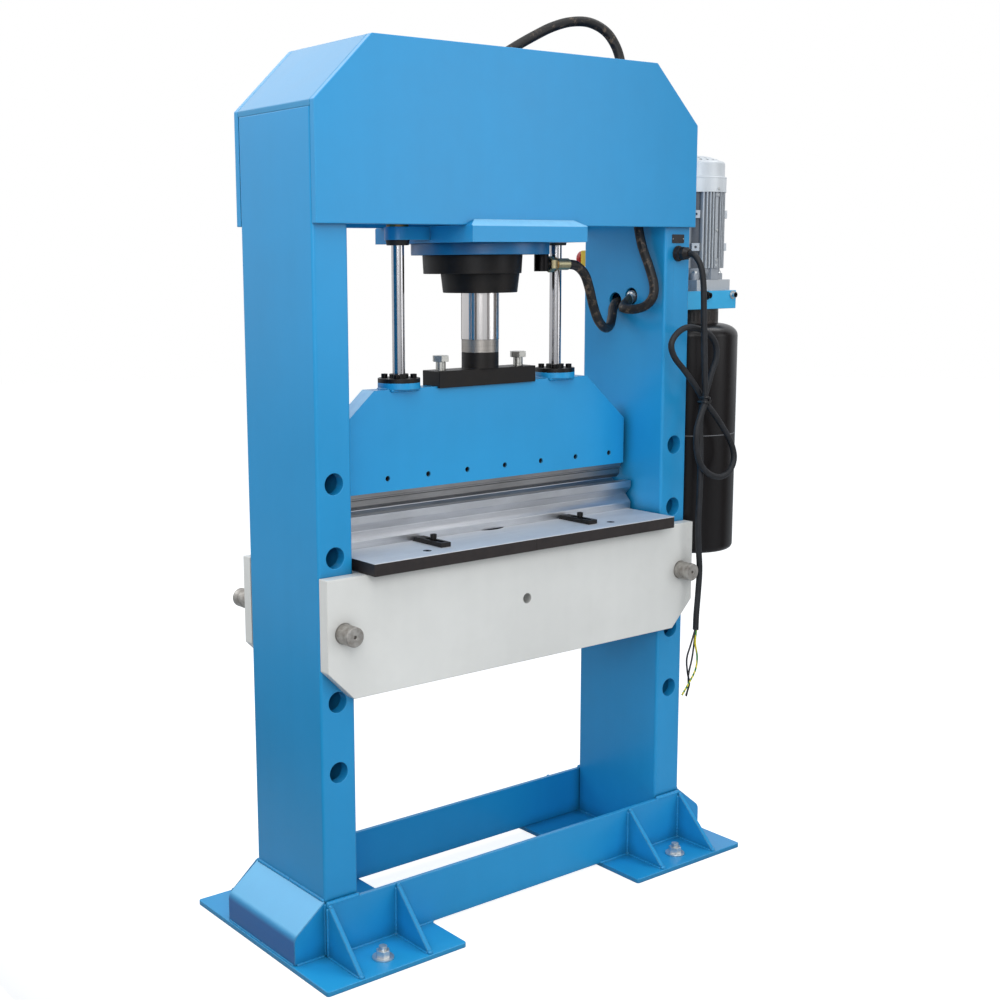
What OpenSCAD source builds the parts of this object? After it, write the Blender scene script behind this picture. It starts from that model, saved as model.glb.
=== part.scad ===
// Hydraulic press brake: a bending press with two hollow columns, a plated head, a ram that
// hangs from one cylinder and runs on two guide rods, a pinned bed and a bolted-on power pack.
// Millimetres. +X is the right-hand side seen from the front, -Y is the front, +Z is up.
// The origin lies on the floor, under the middle of the whole machine.

/* [Frame] */
// Width over the two columns
frame_w = 964; // [930:2:1010]
// Height from the floor to the top of the head
frame_h = 1711; // [1690:1:1740]
// Width of one column, seen from the front
column_w = 76; // [70:1:84]
// Depth of one column
column_d = 248; // [236:2:260]
// Thickness of the side plates of the columns
column_t = 8; // [6:0.5:10]
// Thickness of the front and rear plates of the columns, which bear the bed pins
column_face_t = 22; // [16:1:26]
// Outer corner radius of the columns
column_r = 6; // [3:1:7]
// Height of the two head plates
head_h = 330; // [320:1:345]
// Thickness of a head plate
head_t = 14; // [10:1:18]
// Width of the corner cut off a head plate
head_cut_x = 124; // [110:1:134]
// Height of the corner cut off a head plate
head_cut_z = 119; // [105:1:130]
// Thickness of the sloping corner covers
cover_t = 8; // [5:1:10]

/* [Feet] */
// Thickness of the base plates
base_t = 10; // [8:1:14]
// Depth of the base plates
base_d = 488; // [460:2:520]
// Reach of a base plate outside its column
base_out = 75; // [60:1:90]
// Reach of a base plate inside its column
base_in = 172; // [150:1:190]
// Thickness of the tie beams
tie_t = 9; // [6:1:12]
// Height of the tie beams
tie_h = 105; // [90:1:120]
// Thickness of the gussets
gusset_t = 10; // [6:1:12]
// Distance from a column's inner face to the middle of its inner gusset
gusset_in = 88; // [70:1:110]
// Distance from a gusset's toe to the edge of the base plate
gusset_edge = 8; // [4:1:16]
// Height of the upright face of a foot wedge
wedge_low = 54; // [40:1:70]
// Height of a foot wedge where it meets the column
wedge_high = 110; // [95:1:125]
// Distance from a foot wedge to the outer edge of the base plate
wedge_edge = 5; // [3:1:15]
// Sheet thickness of the foot wedges
wedge_t = 5; // [3:0.5:8]
// Diameter of the anchor studs
anchor_d = 16; // [12:1:20]
// Distance from an anchor stud to the front or rear edge of the base plate
anchor_edge = 49; // [40:1:60]
// Distance from a column's inner face outwards to its anchor studs
anchor_in = -7; // [-20:1:10]

/* [Bed] */
// Distance from the head's lower edge down to the axis of the bed pins
bed_drop = 740; // [732:0.5:748]
// Diameter of the bed pins
pin_d = 38; // [34:0.5:39]
// Length of a bed pin
pin_len = 415; // [400:1:440]
// Reach of a bed pin in front of the front bed beam
pin_out = 36.5; // [26:0.5:44]
// Diameter of the pin holes in the columns
pin_hole_d = 40; // [39.5:0.5:42]
// Distance from one pin hole in a column to the next
pin_pitch = 137.1; // [130:0.1:140]
// Distance of the pins from the outer face of the columns
pin_edge = 37; // [35:0.5:39]
// Thickness of a bed beam
beam_t = 25.5; // [22:0.5:30]
// Height of a bed beam above the pins' axis
beam_up = 103.5; // [95:0.5:110]
// Depth of a bed beam below the pins' axis
beam_down = 129; // [120:1:140]
// Corner cut off the underside of a bed beam
beam_cut = 58; // [50:1:62]
// Diameter of the threaded hole in the front bed beam
beam_hole_d = 20; // [16:1:24]
// Thickness of the table plates
table_t = 24.5; // [20:0.5:28]
// Depth of the table
table_d = 354; // [330:2:370]
// Gap between the table's ends and the columns
table_gap = 12; // [8:1:16]
// Diameter of the hole in the middle of the table
table_hole_d = 100; // [92:1:110]
// Distance of the table's screws from its middle
table_screw_x = 243; // [230:1:255]

/* [Tools] */
// Height of the die block
die_h = 62; // [58:1:66]
// Width of the die block, front to back
die_w = 80; // [76:1:84]
// Length of the die block
die_len = 798; // [780:2:804]
// Opening of the V in the top of the die block
die_v_top = 38; // [30:1:44]
// Opening of the V in the front of the die block
die_v_front = 33; // [26:1:38]
// Opening of the V in the back of the die block
die_v_back = 26; // [20:1:32]
// Opening of the V in the underside of the die block
die_v_under = 44; // [40:1:46]
// Opening between the punch tip and the die block at rest
tip_gap = 5; // [4.5:0.5:8]
// Height of the punch from its tip to its shoulder
punch_h = 33.5; // [30:0.5:38]
// Width of the punch at its shoulder
punch_w = 26; // [22:1:30]
// Width of the punch above its tip
punch_neck = 17; // [16:0.5:20]
// Thickness of the tang that holds the punch
tang_w = 16; // [14:0.5:18]
// Height of the tang
tang_h = 34; // [32:1:40]
// Diameter of the set screws that hold the tang
set_screw_d = 10.8; // [9:0.1:10.9]
// Distance from one set screw to the next
set_screw_pitch = 100; // [94:1:106]
// Height of the set screws above the ram's lower edge
set_screw_z = 25.5; // [22:0.5:28]
// Width of a die stop
stop_w = 24; // [22:1:30]
// Height of a die stop
stop_h = 9; // [8:0.5:13]
// Length of a die stop
stop_len = 93; // [86:1:96]
// Distance of the die stops from the machine's middle
stop_x = 195; // [180:1:208]

/* [Ram] */
// Length of the ram, which is the bending length
ram_w = 789; // [780:1:796]
// Height of the ram plate
ram_h = 199; // [185:1:210]
// Thickness of the ram plate
ram_t = 40; // [36:1:46]
// Width of the corner cut off the ram
ram_cut_x = 114; // [100:1:130]
// Height of the corner cut off the ram
ram_cut_z = 99; // [90:1:110]
// Diameter of the guide rods
guide_d = 25; // [20:1:30]
// Length of the guide rods
guide_len = 431.5; // [410:0.5:450]
// Distance of a guide rod from the machine's middle
guide_x = 206; // [198:1:214]
// Diameter of the guide flanges
flange_d = 84; // [78:1:90]
// Thickness of the welded part of a guide flange
flange_low = 12; // [10:1:16]
// Thickness of the bolted part of a guide flange
flange_up = 8.5; // [6:0.5:12]
// Length of the clamp bar on top of the ram
bar_len = 253.4; // [240:0.2:270]
// Width of the clamp bar, front to back
bar_w = 56; // [52:1:64]
// Height of the clamp bar above the ram
bar_h = 30; // [24:1:36]
// Depth of the groove that seats the clamp bar on the ram
bar_groove = 3.5; // [2:0.5:6]
// Diameter of the clamp bolts
clamp_bolt_d = 20; // [16:1:24]
// Distance of the clamp bolts from the middle
clamp_bolt_x = 102; // [95:1:108]

/* [Cylinder] */
// Diameter of the piston rod
rod_d = 78; // [70:1:86]
// Diameter of the rod's turned foot
rod_foot_d = 76; // [66:1:77]
// Height of the rod's turned foot
rod_foot_h = 26; // [20:1:30]
// Height of the neck on the clamp bar
neck_h = 32.5; // [28:0.5:38]
// Outer diameter of the cylinder barrel
barrel_d = 180; // [170:1:190]
// Bore of the cylinder barrel
barrel_bore = 140; // [130:1:150]
// Length of the barrel above the mounting slab
barrel_up = 289; // [275:1:300]
// Diameter of the barrel's flange
barrel_flange_d = 280; // [260:2:290]
// Thickness of the barrel's flange
barrel_flange_t = 23; // [18:1:28]
// Diameter of the upper gland ring
gland_d = 202; // [190:1:214]
// Height of the upper gland ring
gland_h = 37; // [30:1:42]
// How far the upper gland ring is set to the left of the rod
gland_set = 20; // [0:1:24]
// Diameter of the lower gland ring
nut_d = 160; // [145:1:165]
// Height of the lower gland ring
nut_h = 38; // [30:1:42]
// Thickness of the mounting slab
slab_t = 32; // [28:1:38]
// Length of the mounting slab
slab_len = 294; // [284:2:310]
// Reach of the slab's lips outside the head plates
lip_out = 20; // [14:1:26]
// Height of the lips above the slab
lip_up = 11; // [6:1:16]
// Width of the guide lugs
lug_w = 52; // [48:1:60]
// Thickness of the guide lugs
lug_t = 25; // [20:1:30]

/* [Power pack] */
// Distance from the column to the pack's axis
pack_out = 106; // [105:1:130]
// Place of the pack's axis, front to back
pack_y = -38; // [-44:1:-30]
// Distance from the head's lower edge down to the bracket's lower edge
bracket_drop = 176; // [166:1:186]
// Height of the bracket
bracket_h = 40; // [36:1:46]
// Thickness of the bracket
bracket_t = 8; // [6:0.5:10]
// Length of the manifold block, left to right
manifold_w = 107; // [98:1:110]
// Depth of the manifold block, front to back
manifold_d = 140; // [134:2:146]
// Height of the manifold block
manifold_h = 64; // [56:1:70]
// Diameter of the tank
tank_d = 202; // [190:2:204]
// Height of the tank's body
tank_h = 512; // [480:2:540]
// Wall of the tank
tank_t = 3; // [2:0.5:4]
// Diameter of the tank's neck
tank_neck_d = 114; // [113:1:130]
// Height of the tank's neck
tank_neck_h = 33; // [28:1:46]
// Height of the motor's lower bell
bell_h = 25; // [22:1:34]
// Length of the motor's finned housing
motor_h = 165; // [150:1:180]
// Diameter over the motor's fins
motor_d = 133; // [126:1:146]
// Height of a fin
fin_h = 9; // [6:1:10]
// Number of fins
fin_count = 32; // [24:8:32]
// Height of the fan cowl's wide part
cowl_low = 31; // [24:1:40]
// Height of the fan cowl's narrow part
cowl_up = 36; // [30:1:44]
// Diameter of the motor shaft
shaft_d = 20; // [16:1:22]

/* [Hoses and cable] */
// Diameter of the hydraulic hoses
hose_d = 20; // [14:1:21]
// Diameter of the power cable
cable_d = 13; // [10:1:14]
// Diameter of a bare conductor
core_d = 4; // [3:0.5:5]

/* [Controls] */
// Width of the emergency stop's box
stop_box_w = 52; // [46:1:58]
// Height of the emergency stop's box
stop_box_h = 36; // [32:1:44]
// Depth of the emergency stop's box
stop_box_d = 28; // [24:1:34]
// Diameter of the emergency stop's button
button_d = 34; // [28:1:38]
// Distance from the head's lower edge down to the emergency stop's middle
button_drop = 63; // [51:1:71]

/* [Hidden] */
$fn = 64;

// Clearances
run_gap = 0.05;      // radial, between a shaft and the bore it runs in
fit_gap = 0.1;       // radial, between a fixed piece and its seat
bolt_gap = 0.5;      // radial, round the shank of a bolt
over = 1;            // how far a cutting shape runs past a face

// Colours
blue = "#3ea0dc";
pale = "#dadcda";
steel = "#aab0b8";
bright = "#d4d6d8";
black = "#2a2a2d";
zinc = "#b4b8b0";
grey = "#b0b5b9";

// Places across the frame
half_w = frame_w / 2;
inner_x = half_w - column_w;             // inner face of a column
half_col = column_d / 2;                 // front and rear faces of the columns
pin_x = half_w - pin_edge;
pack_x = half_w + pack_out;
reach_left = half_w + base_out;
reach_right = max(pack_x + tank_d / 2, half_w + base_out);
centre_shift = (reach_left - reach_right) / 2;

// Heights, from the head down to the gland
head_z = frame_h - head_h;
slab_z = head_z - slab_t;
mount_z = slab_z - barrel_flange_t;
gland_z = mount_z - gland_h;
nut_z = gland_z - nut_h;

// Heights, from the bed pins up to the ram
pin_z = head_z - bed_drop;
beam_top = pin_z + beam_up;
table_top = beam_top + table_t;
die_top = table_top + die_h;
tip_z = die_top + tip_gap;
ram_z = tip_z + punch_h;
ram_top = ram_z + ram_h;
bar_top = ram_top + bar_h;
foot_z = bar_top + neck_h;               // lower face of the rod's turned foot
rod_z = foot_z + rod_foot_h;             // lower end of the rod's full diameter

// Heights in the power pack
bracket_z = head_z - bracket_drop;
neck_z = bracket_z - tank_neck_h;
tank_z = neck_z - tank_h;
bell_z = bracket_z + manifold_h;
motor_z = bell_z + bell_h;
cowl_z = motor_z + motor_h;

// Places of the hoses' holes in the right-hand column, [y, z]
port_upper = [-24.5, bracket_z + 30.5];
port_lower = [24, bracket_z + 20];
port_d = 36;
pipe_d = 16;

// ---- general shapes ----

// Moves the machine so that its whole width is centred on the origin
module centred() translate([centre_shift, 0, 0]) children();

module both_sides() {
    children();
    mirror([1, 0, 0]) children();
}

module front_and_rear() {
    children();
    mirror([0, 1, 0]) children();
}

// Extrudes an outline of [x, z] points from y0 to y1
module along_y(points, y0, y1)
    translate([0, y1, 0]) rotate([90, 0, 0]) linear_extrude(y1 - y0) polygon(points);

// Extrudes an outline of [y, z] points from x0 to x1
module along_x(points, x0, x1)
    translate([x0, 0, 0]) rotate([90, 0, 90]) linear_extrude(x1 - x0) polygon(points);

module box(x, y, z) translate([x[0], y[0], z[0]]) cube([x[1] - x[0], y[1] - y[0], z[1] - z[0]]);

// Round bar or bore along Z, Y or X, with its axis through the two given places
module bar_z(d, x, y, z0, z1) translate([x, y, z0]) cylinder(d = d, h = z1 - z0);
module bar_y(d, x, z, y0, y1) translate([x, y1, z]) rotate([90, 0, 0]) cylinder(d = d, h = y1 - y0);
module bar_x(d, y, z, x0, x1) translate([x0, y, z]) rotate([0, 90, 0]) cylinder(d = d, h = x1 - x0);

// Rectangle on the origin with round corners
module round_rect(w, d, r) {
    square([w - 2 * r, d], center = true);
    square([w, d - 2 * r], center = true);
    for (x = [-1, 1], y = [-1, 1])
        translate([x * (w / 2 - r), y * (d / 2 - r)]) circle(r = r, $fn = 32);
}

// Hexagon bar along Z, given its width across flats
module hexagon(flats, h) cylinder(d = flats / cos(30), h = h, $fn = 6);

// ---- frame ----

// Outline of a sloping corner cover, from the slope's top end down to the column's outer face
cover_drop = cover_t * sqrt(pow(head_cut_x, 2) + pow(head_cut_z, 2)) / head_cut_x;
cover_in = cover_t * sqrt(pow(head_cut_x, 2) + pow(head_cut_z, 2)) / head_cut_z;
cover_points = [
    [half_w - head_cut_x, frame_h],
    [half_w, frame_h - head_cut_z],
    [half_w, frame_h - head_cut_z - cover_drop],
    [half_w - head_cut_x - cover_in, frame_h]
];

module column_shell() {
    difference() {
        translate([half_w - column_w / 2, 0, base_t]) linear_extrude(frame_h - base_t) difference() {
            round_rect(column_w, column_d, column_r);
            square([column_w - 2 * column_t, column_d - 2 * column_face_t], center = true);
        }
        // the top is cut along the underside of the corner cover
        along_y([cover_points[3], cover_points[2],
                 [half_w + over, frame_h - head_cut_z - cover_drop - over],
                 [half_w + over, frame_h + over],
                 [cover_points[3][0] - over, frame_h + over]], -column_d, column_d);
        for (k = [-2:2]) bar_y(pin_hole_d, pin_x, pin_z + k * pin_pitch, -column_d, column_d);
    }
}

module column_left() color(blue) centred() mirror([1, 0, 0]) column_shell();

module column_right() color(blue) centred() difference() {
    column_shell();
    // holes for the hoses inside, and for their pipes outside
    for (p = [port_upper, port_lower]) {
        bar_x(port_d, p[0], p[1], inner_x - over, inner_x + column_t + over);
        bar_x(pipe_d + 2 * bolt_gap, p[0], p[1], half_w - column_t - over, half_w + over);
    }
    wall = [half_col - column_face_t - over, half_col + over];
    bar_y(gland_thread_d + 2 * fit_gap, gland_x, cable_gland_z, -wall[1], -wall[0]);
    bar_y(button_neck_d + 2 * bolt_gap, button_x, button_z, wall[0], wall[1]);
}

// Outline of a head plate: square below, with its two upper corners cut off
module head_plate(y0, y1) {
    along_y([
        [-half_w, head_z], [half_w, head_z], [half_w, frame_h - head_cut_z],
        [half_w - head_cut_x, frame_h], [head_cut_x - half_w, frame_h], [-half_w, frame_h - head_cut_z]
    ], y0, y1);
}

module head_plate_front() color(blue) centred() head_plate(-half_col - head_t, -half_col);
module head_plate_rear() color(blue) centred() head_plate(half_col, half_col + head_t);

module head_covers() color(blue) centred() both_sides() along_y(cover_points, -half_col, half_col);

// Slab under the head, with a lip in front of each head plate and a lug for each guide rod
bush_d = 36;
lug_gap_z = 6;        // from the slab's underside up to the lugs
lip_bevel = 20;       // how much shorter a lip is at its top edge, at each end
lip_chamfer = 13;     // height of the bevel along a lip

module cylinder_mount() color(blue) centred() difference() {
    lip_y = half_col + head_t + lip_out;
    union() {
        intersection() {
            along_x([
                [-lip_y, slab_z], [lip_y, slab_z], [lip_y, head_z + lip_up - lip_chamfer],
                [half_col + head_t, head_z + lip_up], [half_col + head_t, head_z],
                [-half_col - head_t, head_z], [-half_col - head_t, head_z + lip_up],
                [-lip_y, head_z + lip_up - lip_chamfer]
            ], -slab_len / 2, slab_len / 2);
            along_y([
                [-slab_len / 2, slab_z], [slab_len / 2, slab_z], [slab_len / 2, head_z],
                [slab_len / 2 - lip_bevel, head_z + lip_up], [lip_bevel - slab_len / 2, head_z + lip_up],
                [-slab_len / 2, head_z]
            ], -lip_y - over, lip_y + over);
        }
        both_sides() translate([0, 0, slab_z + lug_gap_z]) linear_extrude(lug_t) {
            translate([slab_len / 2 - over, -lug_w / 2]) square([guide_x - slab_len / 2 + over, lug_w]);
            translate([guide_x, 0]) circle(d = lug_w);
        }
    }
    bar_z(barrel_d + 2 * fit_gap, 0, 0, slab_z - over, head_z + over);
    both_sides() bar_z(bush_d + 2 * fit_gap, guide_x, 0, slab_z - over, head_z + over);
}

bush_rim_d = 44;
bush_rim_t = 5;
bush_up = 25;         // length of a bush above its lug
wiper_d = 47;
wiper_t = 10;

// Flanged bronze bushes, one in each lug
module guide_bushes() color("#b08d57") centred() both_sides() translate([guide_x, 0, 0]) {
    lug_z = slab_z + lug_gap_z;
    difference() {
        union() {
            bar_z(bush_d, 0, 0, lug_z, lug_z + lug_t + bush_up);
            bar_z(bush_rim_d, 0, 0, lug_z + lug_t, lug_z + lug_t + bush_rim_t);
        }
        bar_z(guide_d + 2 * run_gap, 0, 0, lug_z - over, lug_z + lug_t + bush_up + over);
    }
}

// Rubber wiper rings under the lugs
module wiper_rings() color(black) centred() both_sides() translate([guide_x, 0, 0]) {
    lug_z = slab_z + lug_gap_z;
    difference() {
        translate([0, 0, lug_z - wiper_t]) cylinder(d1 = wiper_d - 4, d2 = wiper_d, h = wiper_t);
        bar_z(guide_d + 4 * run_gap, 0, 0, lug_z - wiper_t - over, lug_z + over);
    }
}

// ---- feet ----

anchor_x = inner_x + anchor_in;
anchor_y = base_d / 2 - anchor_edge;
base_corner_r = 6;

module base_plate() {
    length = base_in + column_w + base_out;
    difference() {
        translate([inner_x - base_in + length / 2, 0, 0]) linear_extrude(base_t)
            round_rect(length, base_d, base_corner_r);
        front_and_rear() bar_z(anchor_d + 2 * bolt_gap, anchor_x, -anchor_y, -over, base_t + over);
    }
}

module base_plate_left() color(blue) centred() mirror([1, 0, 0]) base_plate();
module base_plate_right() color(blue) centred() base_plate();

module tie_beam(y0) box([-half_w, half_w], [y0, y0 + tie_t], [base_t, base_t + tie_h]);

module tie_beam_front() color(blue) centred() tie_beam(-half_col - tie_t);
module tie_beam_rear() color(blue) centred() tie_beam(half_col);

// One upright gusset in front of the tie beam
module gusset(x0) {
    y_beam = -half_col - tie_t;
    y_toe = gusset_edge - base_d / 2;
    along_x([
        [y_beam, base_t], [y_toe, base_t], [y_toe, base_t + 4],
        [y_beam - 4, base_t + tie_h - 3], [y_beam, base_t + tie_h - 3]
    ], x0, x0 + gusset_t);
}

// Folded wedge with closed ends, open underneath, from the column down to the base plate
module foot_wedge() {
    x_out = half_w + base_out - wedge_edge;
    difference() {
        along_y([
            [half_w, base_t], [x_out, base_t], [x_out, base_t + wedge_low], [half_w, base_t + wedge_high]
        ], -half_col, half_col);
        inner_high = base_t + wedge_high - 1.5 * wedge_t;
        along_y([
            [half_w - over, base_t - over], [x_out - wedge_t, base_t - over],
            [x_out - wedge_t, base_t + wedge_low - wedge_t / 2],
            [half_w, inner_high], [half_w - over, inner_high]
        ], wedge_t - half_col, half_col - wedge_t);
    }
}

module foot_stiffeners() color(blue) centred() both_sides() {
    front_and_rear() {
        gusset(half_w - gusset_t);
        gusset(inner_x - gusset_in - gusset_t / 2);
    }
    foot_wedge();
}

anchor_washer_d = 42;
anchor_washer_t = 3;
anchor_nut = 24;
anchor_nut_t = 13;
anchor_up = 8;        // height of the stud above its nut

// Stud, nut and washer at each corner of the feet, cast flush with the floor
module anchor_bolts() color(zinc) centred() both_sides() front_and_rear()
    translate([anchor_x, -anchor_y, 0]) {
        bar_z(anchor_d, 0, 0, 0, base_t + anchor_washer_t + anchor_nut_t + anchor_up);
        difference() {
            union() {
                bar_z(anchor_washer_d, 0, 0, base_t, base_t + anchor_washer_t);
                translate([0, 0, base_t + anchor_washer_t]) hexagon(anchor_nut, anchor_nut_t);
            }
            bar_z(anchor_d + 2 * fit_gap, 0, 0, -over, frame_h);
        }
    }

// ---- cylinder ----

piston_h = 50;
rod_len = 228;                   // full diameter of the rod, from its foot up to the piston
piston_z = rod_z + rod_len;      // underside of the piston at rest
spigot_d = 50;                   // turned ends of the rod
spigot_len = 24;
gland_spigot = 20;               // length of the gland inside the barrel
nut_taper = 9;
cap_t = 25;
cap_spigot = 15;
cap_port_d = 14;
cap_port_x = 50;
cap_top = head_z + barrel_up + cap_t;
adaptor_x = 114;                 // elbow adaptor under the barrel's flange
adaptor_y = -58;
adaptor_d = 16;
seal_groove = 6;
seal_depth = 4;

module cylinder_barrel() color(blue) centred() difference() {
    union() {
        bar_z(barrel_d, 0, 0, mount_z, head_z + barrel_up);
        bar_z(barrel_flange_d, 0, 0, mount_z, slab_z);
    }
    bar_z(barrel_bore, 0, 0, mount_z - over, head_z + barrel_up + over);
    // oil way from the elbow adaptor into the bore
    bar_z(adaptor_d + 2 * fit_gap, adaptor_x, adaptor_y, mount_z - over, mount_z + 12);
}

module cylinder_cap() color(blue) centred() difference() {
    seat_z = cap_top - cap_t;
    union() {
        bar_z(barrel_d, 0, 0, seat_z, cap_top);
        bar_z(barrel_bore - 2 * fit_gap, 0, 0, seat_z - cap_spigot, seat_z);
    }
    bar_z(cap_port_d, cap_port_x, 0, seat_z - cap_spigot - over, cap_top + over);
}

module rod_gland() color(black) centred() difference() {
    union() {
        translate([-gland_set, 0, gland_z]) cylinder(d1 = gland_d - 4, d2 = gland_d, h = gland_h);
        bar_z(barrel_bore - 2 * fit_gap, 0, 0, mount_z, mount_z + gland_spigot);
    }
    bar_z(rod_d + 2 * run_gap, 0, 0, gland_z - over, mount_z + gland_spigot + over);
}

module gland_nut() color(black) centred() difference() {
    translate([0, 0, nut_z]) cylinder(d1 = nut_d - nut_taper, d2 = nut_d, h = nut_h);
    bar_z(rod_d + 2 * run_gap, 0, 0, nut_z - over, gland_z + over);
}

// Piston with a seal ring in each of its two grooves
module piston() color(steel) centred() {
    grooves = [piston_z + 10, piston_z + piston_h - 10 - seal_groove];
    difference() {
        bar_z(barrel_bore - 2 * run_gap, 0, 0, piston_z, piston_z + piston_h);
        bar_z(spigot_d + 2 * fit_gap, 0, 0, piston_z - over, piston_z + piston_h + over);
        for (z = grooves) difference() {
            bar_z(barrel_bore + over, 0, 0, z, z + seal_groove);
            bar_z(barrel_bore - 2 * seal_depth, 0, 0, z - over, z + seal_groove + over);
        }
    }
    for (z = grooves) difference() {
        bar_z(barrel_bore - 2 * run_gap, 0, 0, z + fit_gap, z + seal_groove - fit_gap);
        bar_z(barrel_bore - 2 * seal_depth + 2 * fit_gap, 0, 0, z - over, z + seal_groove + over);
    }
}

// Chromed rod with a turned foot, a spigot in the clamp bar's neck and one through the piston
module piston_rod() color(bright) centred() {
    bar_z(rod_d, 0, 0, rod_z, piston_z);
    bar_z(rod_foot_d, 0, 0, foot_z, rod_z);
    bar_z(spigot_d, 0, 0, foot_z - spigot_len, foot_z);
    bar_z(spigot_d, 0, 0, piston_z, piston_z + piston_h);
}

// ---- ram ----

clamp_nut = 30;                  // width across flats of the clamp bolts
clamp_nut_t = 12;
clamp_lift = 17.5;               // height of the bolt heads above the clamp bar
clamp_depth = 45;                // depth of the bolts' holes in the ram
clamp_end_gap = 5;               // from a bolt's end to the end of its hole
flange_screw_pcd = 58;
flange_screw_d = 8;
flange_skin = 1;                 // solid metal left under a flange screw's hole
collar_d = 38;
collar_h = 8;

module clamp_bar() color(black) centred() difference() {
    bar_z0 = ram_top - bar_groove;
    groove_y = ram_t / 2 + fit_gap;
    union() {
        box([-bar_len / 2, bar_len / 2], [-bar_w / 2, bar_w / 2], [bar_z0, bar_top]);
        bar_z(rod_foot_d, 0, 0, bar_top, foot_z);
    }
    box([-bar_len, bar_len], [-groove_y, groove_y], [bar_z0 - over, ram_top]);
    bar_z(spigot_d + 2 * fit_gap, 0, 0, foot_z - spigot_len, foot_z + over);
    both_sides() bar_z(clamp_bolt_d + 2 * bolt_gap, clamp_bolt_x, 0, 0, bar_top + over);
}

module ram_plate() color(blue) centred() difference() {
    half = ram_w / 2;
    union() {
        along_y([
            [-half, ram_z], [half, ram_z], [half, ram_top - ram_cut_z], [half - ram_cut_x, ram_top],
            [ram_cut_x - half, ram_top], [-half, ram_top - ram_cut_z]
        ], -ram_t / 2, ram_t / 2);
        both_sides() {
            bar_z(flange_d, guide_x, 0, ram_top, ram_top + flange_low);
            bar_z(ram_t - 2 * over, guide_x, 0, ram_top - over, ram_top + flange_low);
        }
    }
    // slot for the punch's tang, and the set screws' holes
    slot_y = tang_w / 2 + run_gap;
    box([-half - over, half + over], [-slot_y, slot_y], [ram_z - over, ram_z + tang_h]);
    for (x = set_screw_places) bar_y(set_screw_d + 2 * fit_gap, x, ram_z + set_screw_z, -ram_t, 0);
    both_sides() {
        bar_z(clamp_bolt_d + 2 * fit_gap, clamp_bolt_x, 0, ram_top - clamp_depth, ram_top + over);
        translate([guide_x, 0, 0]) {
            bar_z(guide_d + 2 * fit_gap, 0, 0, ram_top, ram_top + flange_low + over);
            flange_screw_holes(fit_gap, ram_top + flange_skin, ram_top + flange_low + over);
        }
    }
}

set_screw_places = [for (k = [-3.5:1:3.5]) k * set_screw_pitch];

module flange_screw_places()
    for (a = [45:90:315]) rotate(a) translate([flange_screw_pcd / 2, 0, 0]) children();

module flange_screw_holes(gap, z0, z1)
    flange_screw_places() bar_z(flange_screw_d + 2 * gap, 0, 0, z0, z1);

module guide_rods() color(bright) centred() both_sides()
    bar_z(guide_d, guide_x, 0, ram_top, ram_top + guide_len);

// Round flange with a collar, screwed down over each guide rod
module guide_flanges() color(black) centred() both_sides() translate([guide_x, 0, ram_top + flange_low])
    difference() {
        union() {
            bar_z(flange_d, 0, 0, 0, flange_up);
            bar_z(collar_d, 0, 0, flange_up, flange_up + collar_h);
        }
        bar_z(guide_d + 2 * fit_gap, 0, 0, -over, flange_up + collar_h + over);
        flange_screw_holes(bolt_gap, -over, flange_up + over);
    }

// Socket head screw standing on z = 0, with its shank below
module cap_screw(d, shank) {
    difference() {
        bar_z(1.6 * d, 0, 0, 0, d);
        translate([0, 0, d / 2]) hexagon(0.75 * d, d);
    }
    bar_z(d, 0, 0, -shank, 0);
}

// Screws of the guide flanges, and the two tall bolts through the clamp bar
module ram_screws() color(black) centred() both_sides() {
    translate([guide_x, 0, ram_top + flange_low + flange_up]) flange_screw_places()
        cap_screw(flange_screw_d, flange_low + flange_up - 2 * flange_skin);
    translate([clamp_bolt_x, 0, bar_top + clamp_lift]) {
        hexagon(clamp_nut, clamp_nut_t);
        bar_z(clamp_bolt_d, 0, 0, clamp_end_gap - clamp_depth - bar_h - clamp_lift, 0);
    }
}

// ---- tools ----

punch_shoulder = 11.5;           // height of the punch's shoulder
punch_tip = 1.6;                 // width of the flat on the tip
punch_angle = 85;
tang_gap = 1;                    // from the tang up to the end of its slot
groove_z = 8;                    // from the ram down to the groove in the shoulder
groove_t = 2;

module punch() color(bright) centred() {
    half = [
        [tang_w / 2, ram_z + tang_h - tang_gap], [tang_w / 2, ram_z], [punch_w / 2, ram_z],
        [punch_w / 2, ram_z - groove_z], [(punch_w - groove_t) / 2, ram_z - groove_z - groove_t / 2],
        [punch_w / 2, ram_z - groove_z - groove_t], [punch_w / 2, ram_z - punch_shoulder],
        [punch_neck / 2, ram_z - punch_shoulder - (punch_w - punch_neck) / 4],
        [punch_neck / 2, tip_z + (punch_neck - punch_tip) / 2 / tan(punch_angle / 2)],
        [punch_tip / 2, tip_z]
    ];
    other = [for (k = [len(half) - 1:-1:0]) [-half[k][0], half[k][1]]];
    along_x(concat(half, other), -ram_w / 2, ram_w / 2);
}

set_screw_len = 8;

// Set screws that press on the tang
module punch_screws() color(black) centred() for (x = set_screw_places) difference() {
    y = -tang_w / 2 - run_gap;
    bar_y(set_screw_d, x, ram_z + set_screw_z, y - set_screw_len, y);
    translate([x, y - set_screw_len + set_screw_d / 2, ram_z + set_screw_z])
        rotate([90, 0, 0]) hexagon(set_screw_d / 2, set_screw_d);
}

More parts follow.
